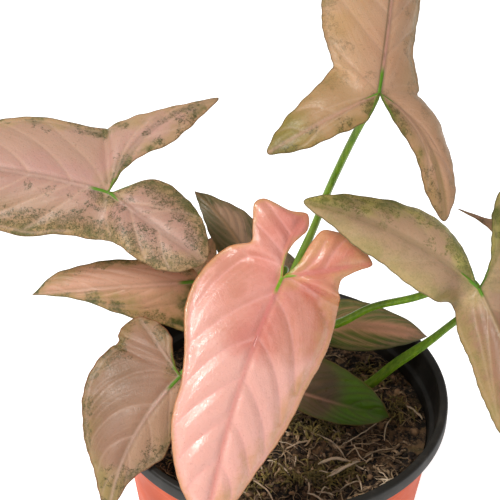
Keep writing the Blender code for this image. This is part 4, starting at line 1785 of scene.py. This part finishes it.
    def laid(self, strand: Strand) -> Array:
        """Lays a strand that has a place of its own.

        Args:
            strand: The strand.

        Returns:
            Its points.
        """
        share = np.linspace(0, 1, self.strand_points)[:, None]
        start, end = np.array(strand.start), np.array(strand.end)
        side = unit(np.array([start[1] - end[1], end[0] - start[0]]))
        arch = 4 * share * (1 - share)
        flat = self.inside(start + share * (end - start) + strand.bend * arch * side, self.wall_gap[1])
        over = max(self.relief(px, py) for px, py in flat)
        height = np.array([0.5 * over + 0.5 * self.relief(px, py) for px, py in flat])
        return np.concatenate([flat, height[:, None] + 0.1 + strand.rise * (0.4 + 0.6 * arch)], axis=1)

    def strew(self, draw: np.random.Generator, kind: Litter, places: Iterable[Array]) -> Strands:
        """Lays strands of one kind.

        Args:
            draw: The source of chance.
            kind: The kind of strand.
            places: Where their middles lie.

        Returns:
            The points, radius and flatness of each.
        """
        strands = []
        for x, y in places:
            path = self.wander(draw, kind, x, y)
            girth = draw.uniform(*kind.girth)
            flat = draw.uniform(kind.flat, kind.flat + kind.flatter) if kind.flatter else kind.flat
            strands.append((path, girth, flat))
        return strands

    def in_moss(self, draw: np.random.Generator) -> Iterable[Array]:
        """Draws one place in the moss after another.

        Args:
            draw: The source of chance.

        Yields:
            A place, in millimetres.
        """
        for number in range(MOSS.count):
            patch = self.mossy[number % len(self.mossy)]
            yield draw.normal(0, 0.45 * patch.radius, 2) + [patch.x, patch.y]

    def strand_piece(self, draw: np.random.Generator, kind: Litter, strands: Strands) -> Piece:
        """Makes many strands of one kind.

        Args:
            draw: The source of chance.
            kind: The kind of strand.
            strands: The points, radius and flatness of each.

        Returns:
            The piece.
        """
        bm = bmesh.new()
        layer = bm.verts.layers.float.new("strand")
        for path, girth, flat in strands:
            before = len(bm.verts)

            def radius(share: Array, angle: Array) -> Array:
                """Gives a flattened section that narrows to both ends."""
                taper = 0.35 + 0.65 * np.clip(6.4 * share * (1 - share), 0, 1)
                return girth * taper * (1 - flat * np.cos(2 * angle))

            sweep(bm, path, radius, self.strand_sides, start_up=np.array([*draw.normal(0, 0.35, 2), 1.0]))
            bm.verts.ensure_lookup_table()
            tone = draw.random()
            for vert in bm.verts[before:]:
                vert[layer] = tone
        return add_piece(kind.piece, bm, [self.fibre_finish(kind)], "soil")

    def soil_finish(self) -> Material:
        """Makes the damp dark soil.

        Returns:
            The material.
        """
        graph = Graph("damp_soil")
        coarse, fine = graph.noise(170, 5, 0.7), graph.noise(800, 4, 0.7)
        colour = graph.blend(srgb(20, 12, 7), srgb(108, 82, 56), graph.band(coarse, 0.46, 0.62))
        colour = graph.blend(colour, srgb(170, 138, 104), graph.band(fine, 0.52, 0.68, 0.0, 0.7))
        cloud = graph.band(graph.noise(70, 4, 0.6), 0.54, 0.7, 0.0, 0.5)
        colour = graph.blend(colour, srgb(120, 102, 60), cloud)
        relief = graph.bump(fine, 0.0008, 0.9)
        return graph.finish(Base_Color=colour, Roughness=0.95, Normal=relief)

    def crumb_finish(self) -> Material:
        """Makes the crumbs' darker and redder browns.

        Returns:
            The material.
        """
        graph = Graph("soil_crumb")
        pale = graph.band(graph.noise(260, 3), 0.4, 0.66)
        colour = graph.blend(srgb(34, 22, 14), srgb(156, 122, 90), pale)
        relief = graph.bump(graph.noise(900, 4, 0.7), 0.0006, 0.9)
        return graph.finish(Base_Color=colour, Roughness=0.92, Normal=relief)

    def fibre_finish(self, kind: Litter) -> Material:
        """Makes a dry fibre's finish, of a tone of its own for each strand.

        Args:
            kind: The kind of strand.

        Returns:
            The material.
        """
        graph = Graph(kind.finish)
        colour = graph.blend(kind.dark, kind.pale, graph.attribute("strand"))
        stain = graph.band(graph.noise(300, 3), 0.5, 0.75, 0.0, 0.75)
        colour = graph.blend(colour, srgb(46, 33, 20), stain)
        relief = graph.bump(graph.noise(1200, 3), 0.00015, 0.6)
        return graph.finish(Base_Color=colour, Roughness=0.7, Normal=relief)

    def build(self) -> None:
        """Makes the soil and what lies on it."""
        draw = np.random.default_rng(self.seed)
        self.body(self.soil_finish())
        self.crumb_piece(draw, self.crumb_finish())
        for kind in (CHIPS, FIBRES, STRAW):
            lasting = self.strands if kind is STRAW else ()
            strands = [(self.laid(one), self.widest * one.width, self.flattest) for one in lasting]
            places = self.scatter(draw, kind.count, self.wall_gap[2], kind.front)
            self.strand_piece(draw, kind, strands + self.strew(draw, kind, places))
        self.strand_piece(draw, MOSS, self.strew(draw, MOSS, self.in_moss(draw)))


PINK = LeafFinish(
    name="salmon_leaf",
    left=srgb(212, 144, 124),
    right=srgb(206, 135, 108),
    heart=srgb(214, 124, 116),
    blush=srgb(236, 166, 152),
    margin=srgb(212, 156, 112),
    rim=srgb(176, 112, 62),
    speck=srgb(178, 92, 76),
    vein=srgb(242, 176, 166),
    rib=srgb(222, 128, 124),
    under=srgb(208, 144, 126),
    blotch=srgb(176, 146, 84),
    heart_share=0.6, heart_width=8.0, speckle=-1.5, margin_width=1.2, margin_share=0.8,
    margin_right=4.0, blotch_share=0.25, vein_share=0.5, roughness=0.24, shine=0.5,
    green=srgb(124, 168, 32),
    green_reach=6.5,
    # The pale far pink over the main lobe's outer part is partly the blade's own paler tone and partly
    # painted light, where the lower blade faces the light.
    far=srgb(240, 181, 168),
    # dull here is painted shade on the right basal lobe.
    far_share=0.9, far_start=20.0, right_lobe_shade=0.15,
)
BLUSH = LeafFinish(
    name="dusty_leaf",
    left=srgb(184, 147, 124),
    right=srgb(150, 121, 82),
    heart=srgb(198, 150, 144),
    blush=srgb(196, 158, 140),
    margin=srgb(176, 148, 102),
    rim=srgb(112, 88, 54),
    speck=srgb(54, 65, 29),
    vein=srgb(206, 170, 146),
    rib=srgb(204, 164, 148),
    under=srgb(176, 140, 118),
    heart_width=10.0, speckle=-0.45, specks_right=0.95, margin_width=4.0, blotch_share=0.65,
    roughness=0.4,
    blotch=srgb(82, 96, 38),
    vein_share=0.45,
)
LILAC = replace(
    BLUSH,
    name="lilac_leaf",
    left=srgb(188, 152, 138),
    right=srgb(184, 152, 140),
    under=srgb(206, 176, 170),
    specks_right=0.3,
)
ORANGE = LeafFinish(
    name="orange_dusty_leaf",
    left=srgb(192, 150, 122),
    right=srgb(188, 142, 98),
    heart=srgb(188, 140, 116),
    blush=srgb(204, 156, 130),
    margin=srgb(146, 132, 72),
    rim=srgb(84, 80, 40),
    speck=srgb(74, 82, 36),
    vein=srgb(210, 166, 138),
    rib=srgb(212, 164, 142),
    under=srgb(164, 126, 96),
    blotch=srgb(54, 74, 24),
    speckle=-0.2, margin_width=2.6, blotch_share=1.0, roughness=0.4, vein_share=0.25,
    margin_right=1.9, streaks=0.05,
)
MAUVE = LeafFinish(
    name="mauve_leaf",
    left=srgb(132, 101, 74),
    right=srgb(188, 157, 120),
    heart=srgb(168, 129, 110),
    blush=srgb(170, 134, 110),
    margin=srgb(144, 120, 76),
    rim=srgb(118, 66, 42),
    speck=srgb(70, 68, 34),
    vein=srgb(206, 170, 150),
    rib=srgb(212, 176, 162),
    under=srgb(160, 128, 106),
    far=srgb(166, 150, 92),
    heart_width=11.0, speckle=-0.1, margin_width=3.2, blotch_share=0.4, far_share=0.75,
    far_start=32.0, roughness=0.4, vein_share=0.22,
)
TAN = LeafFinish(
    name="tan_leaf",
    left=srgb(186, 145, 98),
    right=srgb(190, 151, 108),
    heart=srgb(192, 146, 122),
    blush=srgb(196, 158, 130),
    margin=srgb(150, 122, 72),
    rim=srgb(84, 70, 38),
    speck=srgb(76, 70, 32),
    vein=srgb(212, 176, 152),
    rib=srgb(196, 142, 130),
    under=srgb(160, 128, 100),
    blotch=srgb(118, 112, 50),
    green_reach=10.0, speckle=-0.15, margin_width=3.4, blotch_share=0.7, roughness=0.4,
    far=srgb(124, 123, 26),
    far_share=0.95, far_start=18.0,
    far_lobe=True,
    # crease and dull are painted shade: along the right of the main rib, and over the right basal lobe.
    rib_fade=0.8, crease_shade=0.7, right_lobe_shade=0.5, outer_edge=0.35, green_lobe=0.75, vein_share=0.2,
    main_edge=0.5,
)
OLIVE_TAN = LeafFinish(
    name="olive_tan_leaf",
    left=srgb(189, 160, 114),
    right=srgb(190, 158, 122),
    heart=srgb(176, 141, 120),
    blush=srgb(180, 150, 122),
    margin=srgb(178, 171, 92),
    rim=srgb(78, 72, 34),
    speck=srgb(96, 100, 44),
    vein=srgb(198, 170, 136),
    rib=srgb(176, 148, 112),
    under=srgb(150, 124, 92),
    blotch=srgb(120, 124, 58),
    green_reach=4.0, speckle=0.2, specks_right=-0.5, margin_width=5.0, margin_share=0.85,
    blotch_share=0.8, roughness=0.38,
    far=srgb(146, 107, 84),
    far_share=0.85, far_start=4.0, vein_share=0.25, main_edge=0.35, heart_width=12.0,
    heart_share=0.7, outer_edge=0.3, green_lobe=-0.9,
)
OLIVE = LeafFinish(
    name="olive_leaf",
    left=srgb(70, 92, 12),
    # The right half's paler grey-green is painted light on the blade's lit upper side.
    right=srgb(92, 106, 50),
    heart=srgb(212, 150, 124),
    blush=srgb(186, 132, 106),
    margin=srgb(60, 74, 24),
    rim=srgb(72, 66, 34),
    speck=srgb(40, 46, 20),
    vein=srgb(206, 146, 118),
    rib=srgb(150, 118, 84),
    under=srgb(96, 92, 54),
    heart_share=0.75, heart_width=2.3, blush_share=0.1, streaks=0.3, speckle=-1.0, margin_width=2.2,
    roughness=0.38, vein_share=0.3,
)
DUSK = replace(
    OLIVE,
    name="dusk_leaf",
    left=srgb(158, 128, 104),
    right=srgb(70, 74, 40),
    heart=srgb(150, 122, 98),
    blush=srgb(66, 70, 36),
    margin=srgb(84, 82, 50),
    streaks=0.0, heart_width=3.0, blush_share=0.95, heart_share=0.3,
    vein=srgb(150, 124, 98),
)
GREEN = LeafFinish(
    name="juvenile_leaf",
    left=srgb(92, 78, 54),
    right=srgb(88, 78, 54),
    heart=srgb(104, 86, 64),
    blush=srgb(148, 114, 90),
    margin=srgb(72, 92, 28),
    rim=srgb(112, 88, 46),
    speck=srgb(28, 32, 14),
    vein=srgb(84, 84, 42),
    rib=srgb(186, 138, 112),
    under=srgb(96, 104, 52),
    far=srgb(84, 124, 14),
    speckle=-1.5, margin_width=1.0, blotch_share=0.0, far_share=1.0, far_start=14.0, rib_fade=0.0,
    roughness=0.32, blush_share=0.35,
)

BLADES = (
    Blade(
        name="blade_front_pink",
        slot="leaf_pink",
        finish=PINK,
        junction=(-0.5, -13.5, 148), tip=(-21, -67, 97),
        bow=-3.5, dome=1.6, wave=0.4, crinkle=0.1, quilt=0.6,
        left=Side(
            tip=(6.5, -1.5, 162),
            main=(18.4, 22.4, 22.2, 18.6, 16.3, 16, 13.4, 8.7),
            forward=-1, lean=30,
            outer=(12, 12.2, 13.3, 14.6, 13, 4.6),
            inner=(0.4, 0.8, 1.6, 2.6, 3.2),
            bow=2.5,
            veins=(
                Vein(1.9, 2.14, 2.6, 0.92), Vein(2.07, 2.21, 1.0, 0.9), Vein(2.26, 2.35, 3.0, 0.9),
                Vein(2.42, 2.52, 2.2, 0.9), Vein(2.58, 2.68, 2.0, 0.9), Vein(2.74, 2.83, 2.0, 0.9),
                Vein(1.7, 1.62, 1.0, 0.9), Vein(1.4, 1.3, 1.0, 0.9),
            ),
        ),
        right=Side(
            tip=(26, -8, 149),
            main=(20.6, 22.4, 22, 20.4, 19.2, 16.6, 12.4, 8),
            forward=-1,
            outer=(13.6, 8.8, 4.8, 2.7, 1.5),
            inner=(3, 8.4, 12, 11, 8.1),
            lean=45, lean_end=25,
            veins=(
                Vein(1.97, 2.02, 1.2, 0.88), Vein(2.08, 2.26, 2.0, 0.85), Vein(2.25, 2.41, 2.4, 0.85),
                Vein(2.42, 2.55, 2.0, 0.88), Vein(2.58, 2.69, 2.0, 0.88), Vein(2.75, 2.84, 2.0, 0.88),
                Vein(0.12, 0.5, 0.8, 0.7), Vein(0.45, 0.75, 1.2, 0.85),
            ),
        ),
    ),
    Blade(
        name="blade_left_big",
        slot="leaf_blush",
        finish=BLUSH,
        junction=(-53, 17, 154), tip=(-134, 33, 150),
        bow=-2, wave=0.9, waves=4.2, phase=0.9, crinkle=0.2,
        left=Side(
            tip=(-21, 48, 168),
            main=(24.6, 24.2, 23.6, 22.8, 19.7, 16.8, 13, 7.5),
            forward=9,
            outer=(17, 11.8, 7.1, 4, 1.4),
            inner=(1.4, 4.1, 7.3, 7.3, 4.9),
            bow=6, lean=45,
            veins=(
                Vein(2.01, 1.87, 1.4, 0.88), Vein(2.01, 2.17, 1.2, 0.9), Vein(2.14, 2.32, 1.5, 0.9),
                Vein(2.3, 2.47, 1.6, 0.9), Vein(2.46, 2.6, 1.6, 0.9), Vein(2.62, 2.74, 1.8, 0.9),
                Vein(2.78, 2.87, 1.8, 0.9), Vein(1.9, 1.5, 1.1, 0.45), Vein(1.4, 1.2, 1.4, 0.85),
                Vein(0.4, 0.7, 1.2, 0.8),
            ),
        ),
        right=Side(
            tip=(-23, -5, 146),
            main=(14.6, 15.6, 18.2, 18.6, 18.4, 16, 12, 6.6),
            outer=(14, 13.5, 12, 10, 7.6),
            inner=(12.2, 14.8, 14.5, 12.7, 9.3),
            bow=1, lean=35,
            veins=(
                Vein(2.01, 1.91, 1.6, 0.88), Vein(2.08, 2.15, 1.5, 0.9), Vein(2.14, 2.31, 1.3, 0.9),
                Vein(2.3, 2.46, 1.5, 0.9), Vein(2.46, 2.6, 1.6, 0.9), Vein(2.62, 2.74, 1.8, 0.9),
                Vein(2.78, 2.87, 1.8, 0.9), Vein(1.75, 1.5, 1.4, 0.88), Vein(1.45, 1.25, 1.4, 0.88),
                Vein(0.1, 0.5, 0.9, 0.5), Vein(0.35, 0.7, 1.3, 0.88),
            ),
        ),
    ),
    Blade(
        name="blade_top",
        slot="leaf_tan",
        finish=TAN,
        junction=(25, -1, 205), tip=(31, 73, 228),
        wave=0.8, phase=1.8, crinkle=0.3,
        left=Side(
            tip=(45, -16, 172),
            main=(14.6, 15.2, 11, 11.6, 12.1, 11, 9, 5),
            forward=7, fold=22,
            outer=(13.3, 12, 9.3, 7.2, 5.2),
            inner=(4.2, 5.2, 5.1, 5.2, 4.8),
            bow=6, lean=40,
            veins=(
                Vein(2.02, 2.05, 1.2, 0.85), Vein(2.15, 2.22, 1.2, 0.88), Vein(2.3, 2.4, 1.4, 0.88),
                Vein(2.48, 2.6, 1.5, 0.88), Vein(2.68, 2.78, 1.6, 0.88), Vein(0.08, 0.67, 0.7, 0.4),
                Vein(1.9, 1.4, 1.0, 0.4), Vein(0.5, 0.8, 1.2, 0.85), Vein(1.5, 1.25, 1.3, 0.85),
            ),
        ),
        right=Side(
            tip=(-6, -12.5, 192),
            main=(13.7, 14.8, 18.5, 19.8, 20, 18, 14, 8),
            forward=7.2,
            outer=(14.2, 11.8, 10, 8.2, 5.4),
            inner=(4.9, 5.8, 5.5, 4.8, 3.5),
            lean=10,
            veins=(
                Vein(2.01, 2.08, 2.6, 0.88), Vein(2.17, 2.29, 1.6, 0.88), Vein(2.34, 2.46, 1.6, 0.88),
                Vein(2.52, 2.63, 1.6, 0.88), Vein(2.7, 2.79, 1.6, 0.88), Vein(1.95, 1.44, 1.1, 0.36),
                Vein(0.12, 0.62, 0.7, 0.36), Vein(1.6, 1.35, 1.3, 0.88), Vein(1.3, 1.15, 1.3, 0.88),
                Vein(0.5, 0.8, 1.2, 0.85),
            ),
        ),
    ),
    Blade(
        name="blade_right_big",
        slot="leaf_tan",
        finish=OLIVE_TAN,
        junction=(57, -14, 146), tip=(79, -68, 112),
        dome=1.6, wave=0.7, phase=2.6, crinkle=0.3, quilt=0.2,
        left=Side(
            tip=(5, -3, 168),
            main=(9, 10.5, 10.9, 11, 11, 10.8, 9.8, 6),
            fold=45,
            outer=(12, 12.3, 10.7, 8.5, 5.3),
            inner=(8.6, 13, 11.9, 8.6, 6),
            bow=-3,
        ),
        right=Side(
            tip=(68, 20, 160),
            main=(18, 21.6, 24, 23.8, 22, 18.6, 14, 8),
            outer=(8, 9.3, 9, 7.6, 4.8),
            inner=(0.6, 2.2, 4.2, 5, 4.1),
            bow=2,
        ),
    ),
    Blade(
        name="blade_low_left",
        slot="leaf_blush",
        finish=ORANGE,
        junction=(-26, 11, 125), tip=(-77.5, 12, 117),
        dome=1, wave=0.4, quilt=0.12, fine=0.8,
        left=Side(
            tip=(-22, 20, 135),
            main=(6.4, 7, 7.6, 8.6, 8.9, 8.6, 7.5, 5.4),
            outer=(5, 4, 3),
            inner=(2, 3, 3),
        ),
        right=Side(
            tip=(-16, 4, 116),
            main=(17, 14.9, 11.8, 10.3, 7.6, 4.4, 2.2, 0.8),
            outer=(6, 5, 4),
            inner=(2, 3, 3),
        ),
    ),
    Blade(
        name="blade_drooping_left",
        slot="leaf_blush",
        finish=MAUVE,
        junction=(-30, -18, 112), tip=(-51, -45, 78),
        bow=-4, wave=0.9, waves=4, phase=0.5, crinkle=0.25, quilt=0.25,
        left=Side(
            tip=(-43.5, -0.5, 120),
            main=(21.4, 21.8, 22.8, 21.3, 17.8, 13.4, 7.8, 3.8),
            forward=5.5,
            outer=(19, 17, 14.2, 10.8, 6.5),
            inner=(0.6, 2.4, 4.4, 4.5, 3.6),
            lean=46, lean_end=58,
            veins=(
                Vein(2.02, 2.33, 2.4, 0.88), Vein(2.23, 2.5, 1.8, 0.88), Vein(2.46, 2.66, 1.8, 0.88),
                Vein(2.7, 2.83, 1.8, 0.88), Vein(1.85, 1.95, 1.2, 0.85), Vein(1.6, 1.6, 1.0, 0.85),
                Vein(0.25, 0.6, 1.2, 0.85),
            ),
        ),
        right=Side(
            tip=(-18, -10, 111),
            main=(7.6, 8.4, 8.6, 10.3, 10.8, 7.8, 4.2, 2.1),
            outer=(6, 5, 4),
            inner=(3, 4, 4),
            veins=(
                Vein(2.1, 2.22, 2.0, 0.85), Vein(2.32, 2.46, 2.0, 0.85), Vein(2.56, 2.68, 2.0, 0.85),
            ),
        ),
    ),
    Blade(
        name="blade_back_olive",
        slot="leaf_olive",
        finish=DUSK,
        junction=(-10, 22, 124), tip=(-28, 37, 140),
        dome=1, wave=0.4, quilt=0.3, fine=0.6,
        left=Side(
            tip=(6, 28, 118),
            main=(11, 10.6, 10, 9.4, 8.4, 6.7, 4.8, 2.7),
            outer=(5, 5, 4),
            inner=(2, 3, 3),
        ),
        right=Side(
            tip=(-14, 12, 112),
            main=(8, 7.2, 6.9, 6.6, 5.8, 4.7, 3.5, 2),
            outer=(5, 5, 4),
            inner=(2, 3, 3),
        ),
    ),
    Blade(
        name="blade_right_olive",
        slot="leaf_olive",
        finish=OLIVE,
        junction=(11.5, 16.5, 104), tip=(47.5, 24.5, 93),
        dome=1, wave=0.4, quilt=0.3, fine=0.7,
        left=Side(
            tip=(1, 13, 100),
            main=(6, 6.8, 7.6, 7.6, 7, 6, 4.5, 2.6),
            outer=(4, 4, 3),
            inner=(2, 3, 3),
        ),
        right=Side(
            tip=(6, 27.5, 107),
            main=(8, 9, 9.8, 9.2, 8.4, 7, 5.5, 3.2),
            outer=(4, 4, 3),
            inner=(2, 3, 3),
        ),
    ),
    Blade(
        name="blade_juvenile",
        slot="leaf_green",
        finish=GREEN,
        junction=(1, -1, 93), tip=(35, -4, 84),
        dome=1, wave=0.4, quilt=0.3, fine=0.7,
        left=Side(
            tip=(-9, -6, 90),
            main=(5, 5.6, 6.2, 6.7, 6.7, 6.3, 5, 3),
            fold=-25,
            outer=(4, 4, 3),
            inner=(2, 3, 3),
        ),
        right=Side(
            tip=(0, 3, 102),
            main=(11.7, 12.2, 12.5, 11.9, 10.8, 9.4, 7.4, 4.3),
            fold=0,
            outer=(3.5, 3, 2),
            inner=(2, 2, 1.5),
        ),
    ),
    Blade(
        name="blade_far_right",
        slot="leaf_blush",
        finish=LILAC,
        junction=(80, 8.5, 138), tip=(133, 45, 126),
        wave=0.8, phase=1.2, fine=0.8,
        left=Side(
            tip=(80, -7, 122),
            main=(14, 16.4, 18, 17.6, 16, 13.4, 10, 5.6),
            outer=(7, 7, 5),
            inner=(3, 4, 3),
        ),
        right=Side(
            tip=(52.5, 18.5, 150),
            main=(14, 16.4, 18, 17.6, 16, 13.4, 10, 5.6),
            outer=(7, 5, 1.5),
            inner=(3, 3, 1),
        ),
    ),
)

TUFTS = (
    Tuft(
        "petioles_left",
        (-20, 10),
        (
            Petiole("blade_left_big", ((-24, 18, 105), (-38, 25, 134))),
            Petiole("blade_low_left", ((-22, 12, 100),)),
            Petiole("blade_drooping_left", ((-22, 4, 100),)),
            Petiole("blade_back_olive", ((-14, 14, 105),)),
        ),
    ),
    Tuft(
        "petioles_middle",
        (-6, 14),
        (
            Petiole("blade_front_pink", ((-4, 4, 115),)),
            Petiole(
                "blade_top",
                ((-3, 11, 105), (4.5, 10, 134), (9, 9, 149.5), (12.5, 7, 164.5), (20, 1, 192)),
                turn=-0.6,
            ),
            Petiole(
                "blade_right_big",
                ((-2, 11.5, 94), (8, 7.5, 108.5), (18, 2.5, 117), (27, 0, 125.5), (38, -5.5, 134)),
            ),
        ),
    ),
    Tuft(
        "petioles_right",
        (14, 10),
        (
            Petiole("blade_right_olive", ((11, 14, 92),)),
            Petiole("blade_juvenile", ((6, 4, 86),)),
            Petiole(
                "blade_far_right",
                ((27, 5, 88), (36, 5, 98), (46, 4, 109), (53, 2, 119), (66, 4, 130)),
            ),
        ),
    ),
)


@dataclass(frozen=True)
class Lamp:
    """A square soft light: its place and side in metres, its power in watts, and its colour."""

    name: str
    place: Point
    side: float
    power: float
    colour: Colour


@dataclass(frozen=True)
class Studio:
    """The pale floor, the soft lights and the camera, which looks down on the plant's front.

    eye is the camera's place in millimetres, pitch how far it looks down, and aim the point that
    the lamps face, in metres. SENSOR and lens are in millimetres, and CLIP in metres.
    """

    SENSOR = 36.0
    CLIP = (0.01, 20.0)

    eye: Point = (-10.2, -516.2, 564.8)
    pitch: float = 39.0
    roll: float = 1.4
    lens: float = 160.8
    floor_size: float = 6.0
    ambient: float = 0.34
    floor_glow: float = 0.74
    aim: Point = (0, 0, 0.13)
    lamps: tuple[Lamp, ...] = (
        Lamp("key", (-0.95, -0.5, 1.6), 0.6, 27, (1.0, 0.98, 0.94)),
        Lamp("fill", (1.3, -0.9, 0.9), 1.2, 2.5, (1.0, 0.99, 0.96)),
    )

    def camera(self) -> None:
        """Makes the camera: level along +Y, then pitched down and rolled."""
        data = bpy.data.cameras.new("camera")
        data.lens = self.lens
        data.sensor_width = self.SENSOR
        data.clip_start, data.clip_end = self.CLIP
        camera = bpy.data.objects.new("camera", data)
        down = Matrix.Rotation(radians(90 - self.pitch), 4, "X")
        turn = down @ Matrix.Rotation(radians(self.roll), 4, "Z")
        camera.matrix_world = Matrix.Translation(Vector(self.eye) * MM) @ turn
        bpy.context.scene.collection.objects.link(camera)
        bpy.context.scene.camera = camera

    def floor(self) -> None:
        """Makes the floor."""
        bm = bmesh.new()
        bmesh.ops.create_grid(bm, x_segments=1, y_segments=1, size=self.floor_size / 2)
        mesh = bpy.data.meshes.new("floor")
        bm.to_mesh(mesh)
        bm.free()
        graph = Graph("white_floor")
        shine = {"Emission_Color": (1, 1, 1, 1), "Emission_Strength": self.floor_glow}
        mesh.materials.append(graph.finish(Base_Color=(0.92, 0.92, 0.92), Roughness=0.9, **shine))
        floor = bpy.data.objects.new("floor", mesh)
        bpy.context.scene.collection.objects.link(floor)
        floor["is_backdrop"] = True

    def light(self, lamp: Lamp) -> None:
        """Makes a light that points at the plant.

        Args:
            lamp: The light's measures.
        """
        data = bpy.data.lights.new(lamp.name, "AREA")
        data.size = lamp.side
        data.energy = lamp.power
        data.color = lamp.colour
        light = bpy.data.objects.new(lamp.name, data)
        toward = Vector(self.aim) - Vector(lamp.place)
        turn = toward.to_track_quat("-Z", "Y").to_matrix().to_4x4()
        light.matrix_world = Matrix.Translation(lamp.place) @ turn
        bpy.context.scene.collection.objects.link(light)

    def build(self) -> None:
        """Makes the whole studio."""
        scene = bpy.context.scene
        scene.view_settings.view_transform = "Standard"
        world = bpy.data.worlds.new("studio")
        world.use_nodes = True
        background = world.node_tree.nodes["Background"]
        background.inputs["Color"].default_value = (1, 1, 1, 1)
        background.inputs["Strength"].default_value = self.ambient
        scene.world = world
        self.camera()
        self.floor()
        for lamp in self.lamps:
            self.light(lamp)


def main() -> None:
    """Builds the studio and each piece of the plant."""
    logging.basicConfig(level=logging.INFO, format="%(name)s: %(message)s")
    Studio().build()
    NurseryPot().build()
    LOG.info("pot made")
    Soil().build()
    LOG.info("soil made")
    flesh = stalk_finish()
    forms = {blade.name: BladeForm(blade) for blade in BLADES}
    for tuft in TUFTS:
        tuft.build(forms, flesh)
        LOG.info("%s made", tuft.name)
    for blade in BLADES:
        piece = BladePiece(blade).build()
        LOG.info("%s made with %d faces", piece.name, len(piece.data.polygons))
    boxes = {"cad": CAD_BOX, "visual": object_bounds()}
    {name: [list(corner) for corner in box] for name, box in boxes.items()}


if __name__ == "__main__":
    main()
